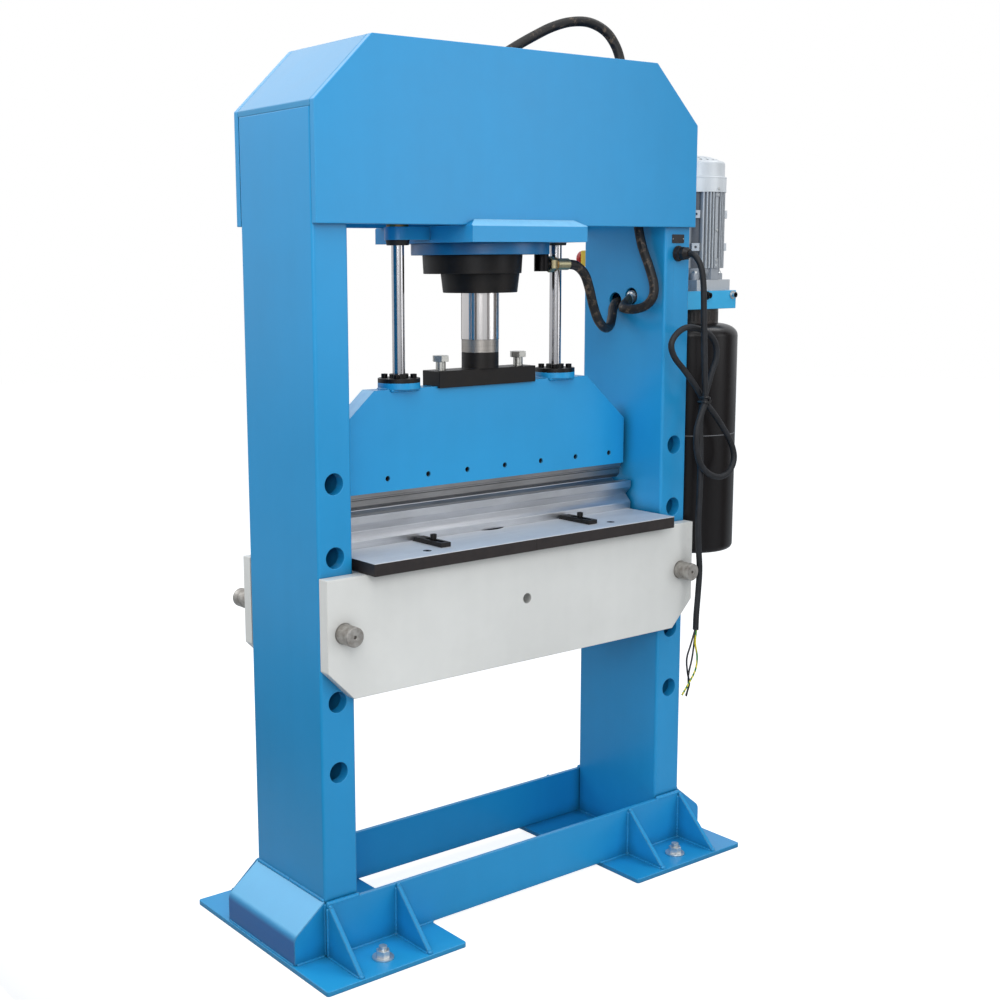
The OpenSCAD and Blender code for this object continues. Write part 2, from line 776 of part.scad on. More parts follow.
// Outline of a block with a V in each of its four sides
module die_block() color(steel) centred() {
    v_depth = 0.46;              // depth of a V as a share of its opening
    w = die_w / 2;
    mid = (table_top + die_top) / 2;
    along_x([
        [-w, table_top], [-die_v_under / 2, table_top], [0, table_top + v_depth * die_v_under],
        [die_v_under / 2, table_top], [w, table_top],
        [w, mid - die_v_back / 2], [w - v_depth * die_v_back, mid], [w, mid + die_v_back / 2],
        [w, die_top], [die_v_top / 2, die_top], [0, die_top - v_depth * die_v_top],
        [-die_v_top / 2, die_top], [-w, die_top],
        [-w, mid + die_v_front / 2], [v_depth * die_v_front - w, mid], [-w, mid - die_v_front / 2]
    ], -die_len / 2, die_len / 2);
}

stop_gap = 1;                    // between a die stop and the die block
stop_screw_d = 8;
stop_screw_y = -94;
stop_slot = [-72, -122];         // ends of the slot, at the middle of its round ends
spacer_d = 11;
spacer_h = 3;

// Slotted bar that keeps the die block in place
module die_stop(x) {
    y1 = -die_w / 2 - stop_gap;
    difference() {
        along_x([
            [y1, table_top], [y1 - stop_h * 0.6, table_top + stop_h],
            [y1 - stop_len, table_top + stop_h], [y1 - stop_len, table_top]
        ], x - stop_w / 2, x + stop_w / 2);
        slot_w = stop_screw_d + 2 * bolt_gap;
        z = [table_top - over, table_top + stop_h + over];
        box([x - slot_w / 2, x + slot_w / 2], [stop_slot[1], stop_slot[0]], z);
        for (y = stop_slot) bar_z(slot_w, x, y, z[0], z[1]);
    }
}

module stop_left() color(black) centred() die_stop(-stop_x);
module stop_right() color(black) centred() die_stop(stop_x);

// ---- bed ----

beam_mid = half_col + beam_t / 2;
table_screw_d = 10;
table_screw_head = 17;
table_screw_len = 40;
table_screw_places = [for (x = [-table_screw_x, table_screw_x]) for (y = [-beam_mid, beam_mid]) [x, y]];
stop_screw_depth = 18;

module bed_beam(y0) difference() {
    bottom = pin_z - beam_down;
    along_y([
        [beam_cut - half_w, bottom], [half_w - beam_cut, bottom], [half_w, bottom + beam_cut],
        [half_w, beam_top], [-half_w, beam_top], [-half_w, bottom + beam_cut]
    ], y0, y0 + beam_t);
    both_sides() bar_y(pin_d + 2 * run_gap, pin_x, pin_z, y0 - over, y0 + beam_t + over);
    for (p = table_screw_places)
        bar_z(table_screw_d + 2 * fit_gap, p[0], p[1], table_top - table_screw_len - over, table_top);
}

module bed_beam_front() color(pale) centred() difference() {
    bed_beam(-half_col - beam_t);
    bar_y(beam_hole_d, 0, pin_z + 1, -half_col - beam_t - over, -half_col + over);
}

module bed_beam_rear() color(pale) centred() bed_beam(half_col);

// Half of the table; the two plates meet in the middle
module table_plate() difference() {
    box([0, inner_x - table_gap], [-table_d / 2, table_d / 2], [beam_top, table_top]);
    bar_z(table_hole_d, 0, 0, beam_top - over, table_top + over);
    for (p = table_screw_places) {
        bar_z(table_screw_d + 2 * bolt_gap, p[0], p[1], beam_top - over, table_top + over);
        translate([p[0], p[1], table_top - table_screw_head / 2])
            cylinder(d1 = 0.5, d2 = table_screw_head + 2 * fit_gap + 1, h = table_screw_head / 2 + 0.5);
    }
    stop_hole_z = table_top - stop_screw_depth - over;
    bar_z(stop_screw_d + 2 * fit_gap, stop_x, stop_screw_y, stop_hole_z, table_top + over);
}

module table_left() color(steel) centred() mirror([1, 0, 0]) table_plate();
module table_right() color(steel) centred() table_plate();

// Countersunk screws of the table, and the screws of the die stops on their spacers
module table_screws() color(black) centred() {
    for (p = table_screw_places) translate([p[0], p[1], 0]) difference() {
        union() {
            bar_z(table_screw_d, 0, 0, table_top - table_screw_len, table_top - 1);
            translate([0, 0, table_top - table_screw_head / 2])
                cylinder(d1 = 0.5, d2 = table_screw_head, h = table_screw_head / 2);
        }
        translate([0, 0, table_top - 4]) hexagon(6, 5);
    }
    both_sides() translate([stop_x, stop_screw_y, table_top + stop_h + run_gap]) {
        difference() {
            bar_z(spacer_d, 0, 0, 0, spacer_h);
            bar_z(stop_screw_d + 2 * fit_gap, 0, 0, -over, spacer_h + over);
        }
        translate([0, 0, spacer_h]) cap_screw(stop_screw_d, spacer_h + stop_h + stop_screw_depth);
    }
}

pin_bore = 6;         // width and depth of the centre hole in each end of a pin

// Turned pin with a centre hole in each end, through both beams and the column
module bed_pin(x) difference() {
    front = -half_col - beam_t - pin_out;
    bar_y(pin_d, x, pin_z, front, front + pin_len);
    for (y = [front, front + pin_len - pin_bore]) bar_y(pin_bore, x, pin_z, y - over, y + pin_bore + over);
}

module bed_pin_left() color(steel) centred() bed_pin(-pin_x);
module bed_pin_right() color(steel) centred() bed_pin(pin_x);

// ---- power pack ----

manifold_x = pack_x - 2.5;                       // middle of the manifold block's upper part
manifold_y = pack_y + 8;
manifold_step = 11;                              // how much longer its lower part is, at the right
bracket_y = manifold_y - manifold_d / 2;         // rear face of the bracket's front leg
bracket_end = manifold_x + manifold_w / 2 + manifold_step + 2;
bracket_side = 160;                              // length of the leg along the column
bracket_bolt_z = bracket_z + 30;
bracket_bolt_d = 8;
bracket_bolt_in = 12;                            // from the outer bolt to the bracket's end
bracket_bolt_gap = 83;                           // from one bolt to the other
bracket_bolt_depth = 20;
bracket_washer_d = 18;
bracket_washer_t = 1.6;
pipe_seat = 12;                                  // depth of a pipe in the manifold
pipe_start = inner_x + 18;                       // where the upper pipe meets its elbow
ferrule_d = 24;
ferrule_in = 18;                                 // length of the lower hose's ferrule in the column
suction_d = 16;
suction_gap = 40;                                // from the suction tube to the tank's floor

gear_module = 2.5;
gear_teeth = 12;
gear_t = 25;
gear_add = 2;                                    // height of a tooth above the pitch circle
gear_ded = 3;                                    // depth of a tooth below the pitch circle
gear_backlash = 0.5;
gear_centres = gear_module * gear_teeth + 0.3;
gear_run = 0.2;                                  // gap between the gears and the pump body
gear_shaft_d = 14;
idler_d = 12;
pump_wall = 5;
pump_r = gear_module * gear_teeth / 2 + gear_add + gear_run + pump_wall;
gear_drop = 12;                                  // from the tank's neck down to the gears
pump_floor = 30;                                 // metal under the gears
gear_z = neck_z - gear_drop;
pump_z = gear_z - pump_floor;                    // underside of the pump body

bearing_d = 42;
bearing_t = 12;
motor_wall = 8;
motor_r = motor_d / 2 - fin_h;                   // radius of the housing between its fins
motor_top = 14;                                  // thickness of the housing's upper end
stator_low = 22;                                 // from the housing's lower end up to the stator
stator_h = 103;
stator_z = [motor_z + stator_low, motor_z + stator_low + stator_h];
air_gap = 1;
rotor_r = 30;
coil_h = 16;

module at_pack() centred() translate([pack_x, pack_y, 0]) children();

// Angle bracket, welded to the column's side, with the manifold block behind its front leg
module pack_bracket() color(blue) centred() difference() {
    y = [bracket_y - bracket_t, bracket_y];
    z = [bracket_z, bracket_z + bracket_h];
    union() {
        box([half_w, bracket_end], y, z);
        box([half_w, half_w + bracket_t], [y[0], y[0] + bracket_side], z);
    }
    for (p = [port_upper, port_lower])
        bar_x(pipe_d + 2 * bolt_gap, p[0], p[1], half_w - over, half_w + bracket_t + over);
    bracket_bolt_places() bar_y(bracket_bolt_d + 2 * bolt_gap, 0, 0, y[0] - over, y[1] + over);
}

module bracket_bolt_places() for (x = [0, bracket_bolt_gap])
    translate([bracket_end - bracket_bolt_in - x, 0, bracket_bolt_z]) children();

module bracket_bolts() color(black) centred() bracket_bolt_places()
    translate([0, bracket_y - bracket_t, 0]) rotate([90, 0, 0]) {
        difference() {
            bar_z(bracket_washer_d, 0, 0, 0, bracket_washer_t);
            bar_z(bracket_bolt_d + 2 * fit_gap, 0, 0, -over, bracket_washer_t + over);
        }
        translate([0, 0, bracket_washer_t])
            cap_screw(bracket_bolt_d, bracket_washer_t + bracket_t + bracket_bolt_depth);
    }

module manifold() color("#c8ccce") centred() difference() {
    side_x = manifold_x - manifold_w / 2;
    bolt_end = bracket_y + bracket_bolt_depth + 2;
    y = [bracket_y, bracket_y + manifold_d];
    union() {
        box([side_x, side_x + manifold_w], y, [bracket_z, bell_z]);
        box([side_x, side_x + manifold_w + manifold_step], y, [bracket_z, bracket_z + bracket_h]);
    }
    bar_z(gear_shaft_d + 2 * bolt_gap, pack_x, pack_y, bracket_z - over, bell_z + over);
    for (p = [port_upper, port_lower])
        bar_x(pipe_d + 2 * fit_gap, p[0], p[1], side_x - over, side_x + pipe_seat);
    bracket_bolt_places() bar_y(bracket_bolt_d + 2 * fit_gap, 0, 0, bracket_y - over, bolt_end);
}

// Two pipes through the right-hand column, and the suction tube in the tank
module oil_pipes() color(zinc) centred() {
    seat = manifold_x - manifold_w / 2 + pipe_seat;
    bar_x(pipe_d, port_upper[0], port_upper[1], pipe_start, seat);
    bar_x(pipe_d, port_lower[0], port_lower[1], lower_end[0] + ferrule_in, seat);
    translate([pack_x, pack_y, tank_z + tank_t + suction_gap]) difference() {
        cylinder(d = suction_d, h = pump_z - tank_z - tank_t - suction_gap);
        translate([0, 0, -over]) cylinder(d = suction_d - 4, h = pump_z - tank_z);
    }
}

tank_foot_r = 12;
tank_shoulder = (tank_d - tank_neck_d) / 2;
shoulder_h = 27;                 // height of the tank's round shoulder
tank_mouth_d = tank_neck_d - 7;

// Half section of the tank, drawn in by t all round
function tank_points(t) = concat(
    [[0, tank_z + t]],
    [for (a = [-90:15:0]) [tank_d / 2 - tank_foot_r + (tank_foot_r - t) * cos(a),
                           tank_z + tank_foot_r + (tank_foot_r - t) * sin(a)]],
    [for (a = [0:9:90]) [tank_neck_d / 2 + (tank_shoulder - t) * cos(a),
                         neck_z - shoulder_h + (shoulder_h - t) * sin(a)]],
    [[0, neck_z - t]]);

module tank() color(black) at_pack() difference() {
    rotate_extrude($fn = 96) polygon(tank_points(0));
    rotate_extrude($fn = 96) polygon(tank_points(tank_t));
    bar_z(tank_mouth_d, 0, 0, neck_z - 2 * tank_t, neck_z + over);
}

flute_count = 40;

// Fluted ring between the tank and the manifold block
module tank_neck() color(black) at_pack() difference() {
    bar_z(tank_neck_d, 0, 0, neck_z, bracket_z);
    bar_z(tank_mouth_d, 0, 0, neck_z - over, bracket_z + over);
    for (k = [0:flute_count - 1]) rotate(k * 360 / flute_count)
        bar_z(3, tank_neck_d / 2 + 0.5, 0, neck_z + 6, bracket_z - 8);
}

// Gear pump under the manifold block, with a round chamber for each gear
module pump_body() color(grey) at_pack() difference() {
    union() {
        for (x = [0, gear_centres]) bar_z(2 * pump_r, x, 0, pump_z, bracket_z);
        box([0, gear_centres], [-pump_r, pump_r], [pump_z, bracket_z]);
    }
    for (x = [0, gear_centres])
        bar_z(2 * (pump_r - pump_wall), x, 0, gear_z - gear_run, gear_z + gear_t + gear_run);
    bar_z(gear_shaft_d + 2 * run_gap, 0, 0, gear_z - 12, bracket_z + over);
    bar_z(idler_d + 2 * run_gap, gear_centres, 0, gear_z - 15, gear_z + gear_t + 15);
}

// Flank angle of an involute tooth at radius r, for pitch radius p
function roll(p, r) = let (a = acos(min(1, p * cos(20) / r))) tan(a) * 180 / PI - a;
function flank(p, r) = 90 / gear_teeth - gear_backlash / (2 * p) * 90 / PI + roll(p, p) - roll(p, r);

// Outline of a spur gear with a tooth on the +X axis
module gear_outline() {
    p = gear_module * gear_teeth / 2;
    radii = [for (r = [p - gear_ded:1:p + gear_add]) r];
    polygon([for (k = [0:gear_teeth - 1]) each concat(
        [for (r = radii) let (a = k * 360 / gear_teeth - flank(p, r)) r * [cos(a), sin(a)]],
        [for (j = [len(radii) - 1:-1:0]) let (r = radii[j], a = k * 360 / gear_teeth + flank(p, r))
            r * [cos(a), sin(a)]])]);
}

module drive_gear() color(steel) at_pack() translate([0, 0, gear_z]) difference() {
    linear_extrude(gear_t) gear_outline();
    bar_z(gear_shaft_d + 2 * run_gap, 0, 0, -over, gear_t + over);
}

// Its teeth meet the gaps of the drive gear
module driven_gear() color(steel) at_pack() translate([gear_centres, 0, gear_z]) {
    rotate(180 + 180 / gear_teeth) linear_extrude(gear_t) gear_outline();
    bar_z(idler_d, 0, 0, -14, gear_t + 14);
}

// Lower bearing shield with four lugs that hold the motor down
module end_bell() color(grey) at_pack() difference() {
    union() {
        rotate_extrude() polygon([
            [0, bell_z], [motor_r - 15, bell_z], [motor_r - 9, bell_z + 4],
            [motor_r - 2, bell_z + bell_h / 2], [motor_r, motor_z - 4], [motor_r, motor_z], [0, motor_z]
        ]);
        for (a = [0:90:270]) rotate(a)
            box([motor_r - 24, motor_r + 5], [-12, 12], [bell_z, motor_z]);
    }
    bar_z(bearing_d + 2 * fit_gap, 0, 0, motor_z - bearing_t, motor_z + over);
    bar_z(shaft_d + 2 * bolt_gap, 0, 0, bell_z - over, motor_z);
    for (a = [0:90:270]) rotate(a) bar_z(7, motor_r - 3, 0, motor_z - 8, motor_z + over);
}

fin_pitch = 7.6;
fin_t = 2.6;
strip_w = 9;
pad_z = [0.28, 0.71];            // heights of the pads as shares of the housing's length
pad_w = 17;
pad_lift = 3.5;                  // how far a pad stands out from the fins

// Finned housing, closed at the top; the fins of each quarter are parallel
module motor_housing() color(grey) at_pack() difference() {
    z = [motor_z, cowl_z];
    union() {
        bar_z(2 * motor_r, 0, 0, motor_z, cowl_z);
        intersection() {
            bar_z(motor_d, 0, 0, motor_z, cowl_z);
            for (a = [0:90:270]) rotate(a) {
                for (k = [1:fin_count / 8], side = [-1, 1]) {
                    y = side * (k + 0.5) * fin_pitch;
                    box([motor_r * 0.55, motor_d / 2], [y - fin_t / 2, y + fin_t / 2], z);
                }
                box([motor_r - 2, motor_d / 2 - 2], [-strip_w / 2, strip_w / 2], z);
            }
        }
        for (a = [45:90:315], z = pad_z) rotate(a)
            translate([0, 0, motor_z + z * motor_h - pad_w / 2])
                box([motor_r - 2, motor_d / 2 + pad_lift], [-pad_w / 2, pad_w / 2], [0, pad_w]);
    }
    bar_z(2 * (motor_r - motor_wall), 0, 0, motor_z - over, cowl_z - motor_top);
    bar_z(bearing_d + 2 * fit_gap, 0, 0, cowl_z - motor_top - over, cowl_z - 2);
    bar_z(shaft_d + 2 * bolt_gap, 0, 0, cowl_z - motor_top, cowl_z + over);
    for (a = [45:90:315], z = pad_z) rotate(a)
        bar_x(5, 0, motor_z + z * motor_h, motor_d / 2 - 6, motor_d / 2 + pad_lift + over);
}

// Wound iron ring pressed into the housing, with its coil heads
module stator() color("#8c5a3c") at_pack() difference() {
    union() {
        bar_z(2 * (motor_r - motor_wall - fit_gap), 0, 0, stator_z[0], stator_z[1]);
        bar_z(2 * (motor_r - motor_wall - 5), 0, 0, stator_z[0] - coil_h, stator_z[1] + coil_h);
    }
    bar_z(2 * (rotor_r + air_gap), 0, 0, stator_z[0] - coil_h - over, stator_z[1] + coil_h + over);
}

fan_z = cowl_z + 10;
fan_h = 24;

// Shaft with the rotor's iron, from the pump at its lower end to the fan at its upper end
module rotor_shaft() color(steel) at_pack() {
    bar_z(gear_shaft_d, 0, 0, gear_z - 10, bell_z);
    bar_z(shaft_d, 0, 0, bell_z, fan_z + fan_h);
    bar_z(2 * rotor_r, 0, 0, stator_z[0], stator_z[1]);
}

module motor_bearings() color(steel) at_pack()
    for (z = [motor_z - bearing_t, cowl_z - motor_top]) difference() {
        bar_z(bearing_d, 0, 0, z, z + bearing_t);
        bar_z(shaft_d + 2 * run_gap, 0, 0, z - over, z + bearing_t + over);
    }

fan_r = 54;
fan_blades = 7;

module fan() color(grey) at_pack() difference() {
    union() {
        bar_z(36, 0, 0, fan_z, fan_z + fan_h);
        bar_z(2 * fan_r - 24, 0, 0, fan_z, fan_z + 2);
        for (k = [0:fan_blades - 1]) rotate(k * 360 / fan_blades)
            box([14, fan_r], [-1.2, 1.2], [fan_z, fan_z + fan_h]);
    }
    bar_z(shaft_d + 2 * run_gap, 0, 0, fan_z - over, fan_z + fan_h + over);
}

cowl_r = motor_d / 2 + 1;
cowl_step = 4;
cowl_round = 7;                  // radius of the cowl's upper edge
cowl_dome = 14;                  // rise of the cowl's top towards its middle
cowl_t = 1.6;
cowl_top = cowl_z + cowl_low + cowl_up;

// Half section of the cowl, drawn in by t all round
function cowl_points(t) = let (
    upper_r = cowl_r - cowl_step,
    shelf_z = cowl_z + cowl_low - t,
    edge = [upper_r - cowl_round, cowl_top - cowl_round]
) [
    [0, cowl_z], [cowl_r - t, cowl_z], [cowl_r - t, shelf_z], [upper_r - t, shelf_z + 1],
    for (a = [0:15:90]) edge + (cowl_round - t) * [cos(a), sin(a)],
    for (k = [5:-1:0]) [(upper_r - cowl_round) * k / 6, cowl_top - t + cowl_dome * (1 - k * k / 36)]
];

// Pressed cowl with rings of air holes in its top
module fan_cowl() color(grey) at_pack() difference() {
    rotate_extrude($fn = 96) polygon(cowl_points(0));
    rotate_extrude($fn = 96) polygon(cowl_points(cowl_t));
    bar_z(2 * (cowl_r - cowl_t), 0, 0, cowl_z - over, cowl_z + 2);
    for (ring = [[20, 8], [34, 14], [48, 20]], k = [0:ring[1] - 1])
        rotate(k * 360 / ring[1]) bar_z(7, ring[0], 0, cowl_top - 10, cowl_top + cowl_dome + over);
}

// ---- controls ----

gland_x = half_w - 38;
cable_gland_z = head_z - 55;
button_z = head_z - button_drop;
gland_thread_d = 20;
gland_len = 33;
button_x = half_w - 36;
button_neck_d = 18;
button_lift = 12;                // from the box up to the button's head
button_t = 12;
stop_box_wall = 3;

module cable_gland() color(black) centred()
    translate([gland_x, -half_col, cable_gland_z]) rotate([90, 0, 0]) {
        bar_z(gland_thread_d, 0, 0, -column_face_t - 6, 0);
        bar_z(33, 0, 0, 0, 3);
        translate([0, 0, 3]) hexagon(28, 9);
        bar_z(26, 0, 0, 12, 16);
        translate([0, 0, 16]) hexagon(26, 8);
        translate([0, 0, 24]) cylinder(d1 = 25, d2 = 18, h = gland_len - 24);
    }

module estop_box() color("#f2c318") centred() difference() {
    x = [button_x - stop_box_w / 2, button_x + stop_box_w / 2];
    z = [button_z - stop_box_h / 2, button_z + stop_box_h / 2];
    w = stop_box_wall;
    lid_y = half_col + stop_box_d - w;
    box(x, [half_col, half_col + stop_box_d], z);
    box([x[0] + w, x[1] - w], [half_col + w, lid_y], [z[0] + w, z[1] - w]);
    bar_y(button_neck_d + 4 * run_gap, button_x, button_z, lid_y - over, lid_y + w + over);
}

// Mushroom button with its stem
module estop_button() color("#c8201c") centred() {
    face = half_col + stop_box_d + button_lift;
    bar_y(button_neck_d, button_x, button_z, half_col + stop_box_wall + 6, face);
    bar_y(button_d, button_x, button_z, face, face + button_t);
}

// ---- hoses and cable ----

function unit(v) = v / norm(v);
function heading(p, i) = unit(p[min(i + 1, len(p) - 1)] - p[max(i - 1, 0)]);

// One side vector for each point of a route, turned as little as possible from the last one
function sides(p, last, i = 0) = i == len(p) ? [] :
    let (h = heading(p, i), s = unit(last - (last * h) * h)) concat([s], sides(p, s, i + 1));

// Round tube swept along a route
module tube(route, d, start, n = 10) {
    side = sides(route, start);
    m = len(route);
    points = [for (i = [0:m - 1]) let (h = heading(route, i), w = cross(h, side[i]))
        for (k = [0:n - 1]) route[i] + d / 2 * (cos(360 * k / n) * side[i] + sin(360 * k / n) * w)];
    faces = concat(
        [[for (k = [0:n - 1]) k]],
        [for (i = [0:m - 2]) for (k = [0:n - 1])
            [i * n + k, (i + 1) * n + k, (i + 1) * n + (k + 1) % n, i * n + (k + 1) % n]],
        [[for (k = [n - 1:-1:0]) (m - 1) * n + k]]);
    polyhedron(points, faces);
}

// Points whose height is given from the head's lower edge
function from_head(points) = [for (p = points) p + [0, 0, head_z]];

// From the cylinder's cap over the head's edge, down inside it, and round into the column
top_route = from_head([
    [68, 0, 345], [104, 0, 364], [144, -2, 384], [186, -5, 403], [230, -12, 416], [272, -24, 417],
    [306, -38, 400], [327, -48, 369], [337, -54, 331], [342, -58, 289], [350, -61, 239],
    [360, -62, 179], [370, -62, 119], [377, -62, 59], [381, -66, 9], [383, -78, -39],
    [385, -97, -81], [387, -110, -119], [384, -111, -145], [377, -99, -163], [368, -80, -171],
    [362, -62, -172], [362, -47, -170], [369, -38, -167], [379, -33, -162]
]);
// From the adaptor under the barrel's flange to the column's lower hole
lower_route = from_head([
    [186, -58, -75], [212, -58, -79], [236, -57, -97], [252, -55, -127], [268, -50, -161],
    [292, -41, -193], [324, -28, -211], [354, -12, -209], [377, 4, -191], [392, 16, -171],
    [408, 22, -160], [430, 24, -156]
]);
lower_end = lower_route[len(lower_route) - 1];
// From the gland down to the tie, twice round the hank, and down to the bare end
cable_route = from_head([
    [444, -157, -55], [445, -174, -62], [449, -186, -84], [453, -190, -119], [456, -190, -169],
    [459, -190, -221], [462, -190, -273], [465, -190, -325], [467, -190, -367], [454, -191, -395],
    [441, -192, -429], [441, -192, -465], [454, -192, -501], [486, -190, -527], [523, -188, -537],
    [556, -186, -527], [572, -184, -500], [563, -182, -466], [538, -180, -431], [508, -178, -397],
    [478, -176, -367], [448, -177, -333], [414, -178, -300], [382, -178, -270], [372, -178, -242],
    [393, -178, -218], [431, -176, -209], [490, -171, -223], [519, -168, -247], [525, -167, -277],
    [512, -166, -310], [501, -165, -343], [490, -163, -373], [480, -166, -419], [476, -172, -471],
    [473, -176, -525], [470, -178, -579], [468, -178, -633], [471, -178, -687], [476, -178, -740],
    [473, -178, -793], [468, -179, -839], [466, -180, -873]
]);
core_routes = [
    from_head([[464, -180, -873], [447, -184, -903], [431, -188, -931],
               [432, -190, -963], [440, -189, -989], [431, -188, -1015]]),
    from_head([[468, -178, -873], [462, -180, -903], [452, -184, -935],
               [440, -186, -969], [440, -186, -997], [434, -186, -1018]]),
    from_head([[465, -183, -873], [459, -186, -901], [463, -189, -933],
               [456, -191, -961], [436, -191, -987], [416, -190, -1011]])
];

module top_hose() color(black) centred() tube(top_route, hose_d, [0, 1, 0]);
module lower_hose() color(black) centred() tube(lower_route, hose_d, [0, 1, 0]);

// The cable and the three conductors that stand out of its cut end
module power_cable() color(black) centred() {
    tube(cable_route, cable_d, [1, 0, 0]);
    for (r = core_routes) tube(r, core_d, [1, 0, 0], 8);
}

elbow_d = 21;

// Round stub from one point towards another, of a given length
module stub(from, to, length, d) {
    v = unit(to - from);
    translate(from) rotate([0, acos(v[2]), atan2(v[1], v[0])]) cylinder(d = d, h = length);
}

hub_d = 26;

// End fittings of the two hoses
module hose_fittings() color(zinc) centred() {
    // elbow on the cylinder's cap
    cap_hub = [cap_port_x, 0, cap_top + 22];
    bar_z(cap_port_d - 2 * fit_gap, cap_port_x, 0, cap_top - cap_spigot, cap_top);
    translate([cap_port_x, 0, cap_top]) hexagon(27, 12);
    translate(cap_hub) sphere(d = hub_d);
    bar_z(elbow_d - 2, cap_port_x, 0, cap_top + 11, cap_hub[2]);
    stub(cap_hub, top_route[0], norm(top_route[0] - cap_hub), elbow_d);
    // elbow at the column's upper hole
    port_hub = [pipe_start - hub_d / 2 - 1, port_upper[0], port_upper[1]];
    top_end = top_route[len(top_route) - 1];
    bar_x(elbow_d, port_hub[1], port_hub[2], port_hub[0], pipe_start);
    translate(port_hub) sphere(d = hub_d);
    stub(port_hub, top_end, norm(top_end - port_hub), elbow_d);
    // adaptor and ferrule under the barrel's flange
    bar_z(adaptor_d - 2 * fit_gap, adaptor_x, adaptor_y, mount_z - over, mount_z + 11);
    bar_z(30, adaptor_x, adaptor_y, mount_z - 34, mount_z);
    bar_x(ferrule_d, lower_route[0][1], lower_route[0][2], adaptor_x, lower_route[0][0]);
    // ferrule inside the column, behind its lower hole
    bar_x(ferrule_d, port_lower[0], port_lower[1], lower_end[0], lower_end[0] + ferrule_in);
}

column_left();
column_right();
head_plate_front();
head_plate_rear();
head_covers();
cylinder_mount();
guide_bushes();
wiper_rings();
base_plate_left();
base_plate_right();
tie_beam_front();
tie_beam_rear();
foot_stiffeners();
anchor_bolts();
cylinder_barrel();
cylinder_cap();
rod_gland();
gland_nut();
piston();
piston_rod();
clamp_bar();
ram_plate();
guide_rods();
guide_flanges();
ram_screws();
punch();
punch_screws();
bed_beam_front();
bed_beam_rear();
table_left();
table_right();
table_screws();
die_block();
stop_left();
stop_right();
bed_pin_left();
bed_pin_right();
pack_bracket();
bracket_bolts();
manifold();
oil_pipes();
tank();
tank_neck();
pump_body();
drive_gear();
driven_gear();
end_bell();
motor_housing();
stator();
rotor_shaft();
motor_bearings();
fan();
fan_cowl();
top_hose();
lower_hose();
hose_fittings();
power_cable();
cable_gland();
estop_box();
estop_button();
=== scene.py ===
import math
import random

import bmesh
import bpy
from mathutils import Matrix, Vector


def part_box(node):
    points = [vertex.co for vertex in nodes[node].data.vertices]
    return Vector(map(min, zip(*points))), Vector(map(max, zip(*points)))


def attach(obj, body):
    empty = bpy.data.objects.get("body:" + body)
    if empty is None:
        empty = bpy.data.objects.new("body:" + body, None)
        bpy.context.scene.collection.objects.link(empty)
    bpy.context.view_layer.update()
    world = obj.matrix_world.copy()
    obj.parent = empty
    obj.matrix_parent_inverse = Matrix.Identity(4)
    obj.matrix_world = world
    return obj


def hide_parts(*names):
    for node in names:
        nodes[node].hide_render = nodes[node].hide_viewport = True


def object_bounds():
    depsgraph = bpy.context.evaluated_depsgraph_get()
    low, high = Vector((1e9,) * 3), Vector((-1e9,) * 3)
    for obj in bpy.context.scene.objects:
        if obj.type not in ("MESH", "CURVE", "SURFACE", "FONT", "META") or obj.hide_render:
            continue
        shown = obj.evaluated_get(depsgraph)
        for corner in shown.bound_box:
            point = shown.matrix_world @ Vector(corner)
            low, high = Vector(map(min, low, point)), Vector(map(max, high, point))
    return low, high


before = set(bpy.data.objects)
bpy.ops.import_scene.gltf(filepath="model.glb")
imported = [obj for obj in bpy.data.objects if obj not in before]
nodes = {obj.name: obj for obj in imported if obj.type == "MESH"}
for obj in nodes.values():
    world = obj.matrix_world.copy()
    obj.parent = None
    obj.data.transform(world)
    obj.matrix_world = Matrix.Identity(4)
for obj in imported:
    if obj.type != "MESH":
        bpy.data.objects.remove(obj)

cad_box = [list(corner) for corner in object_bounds()]


# ---- Studio ----
# The machine stands on a pale floor in a white room. Soft boxes light it from overhead, from
# the front and from behind. The camera stands left of the front and looks a little down.

ram_low, ram_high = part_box("ram_plate")
middle_x = (ram_low.x + ram_high.x) / 2          # the plane midway between the columns

camera = bpy.data.objects.new("camera", bpy.data.cameras.new("camera"))
bpy.context.scene.collection.objects.link(camera)
bpy.context.scene.camera = camera
camera.data.lens = 51.61
camera.data.shift_x = 0.0919
camera.data.clip_end = 60
eye = (middle_x - 1.8677, -2.2756, 1.3103)
turn, dip, lean = math.radians(36.46), math.radians(9.37), -0.0089
camera.matrix_world = (
    Matrix.Translation(eye)
    @ Matrix.Rotation(-turn, 4, "Z")
    @ Matrix.Rotation(math.pi / 2 - dip, 4, "X")
    @ Matrix.Rotation(lean, 4, "Z")
)
bpy.context.scene.view_settings.view_transform = "Standard"


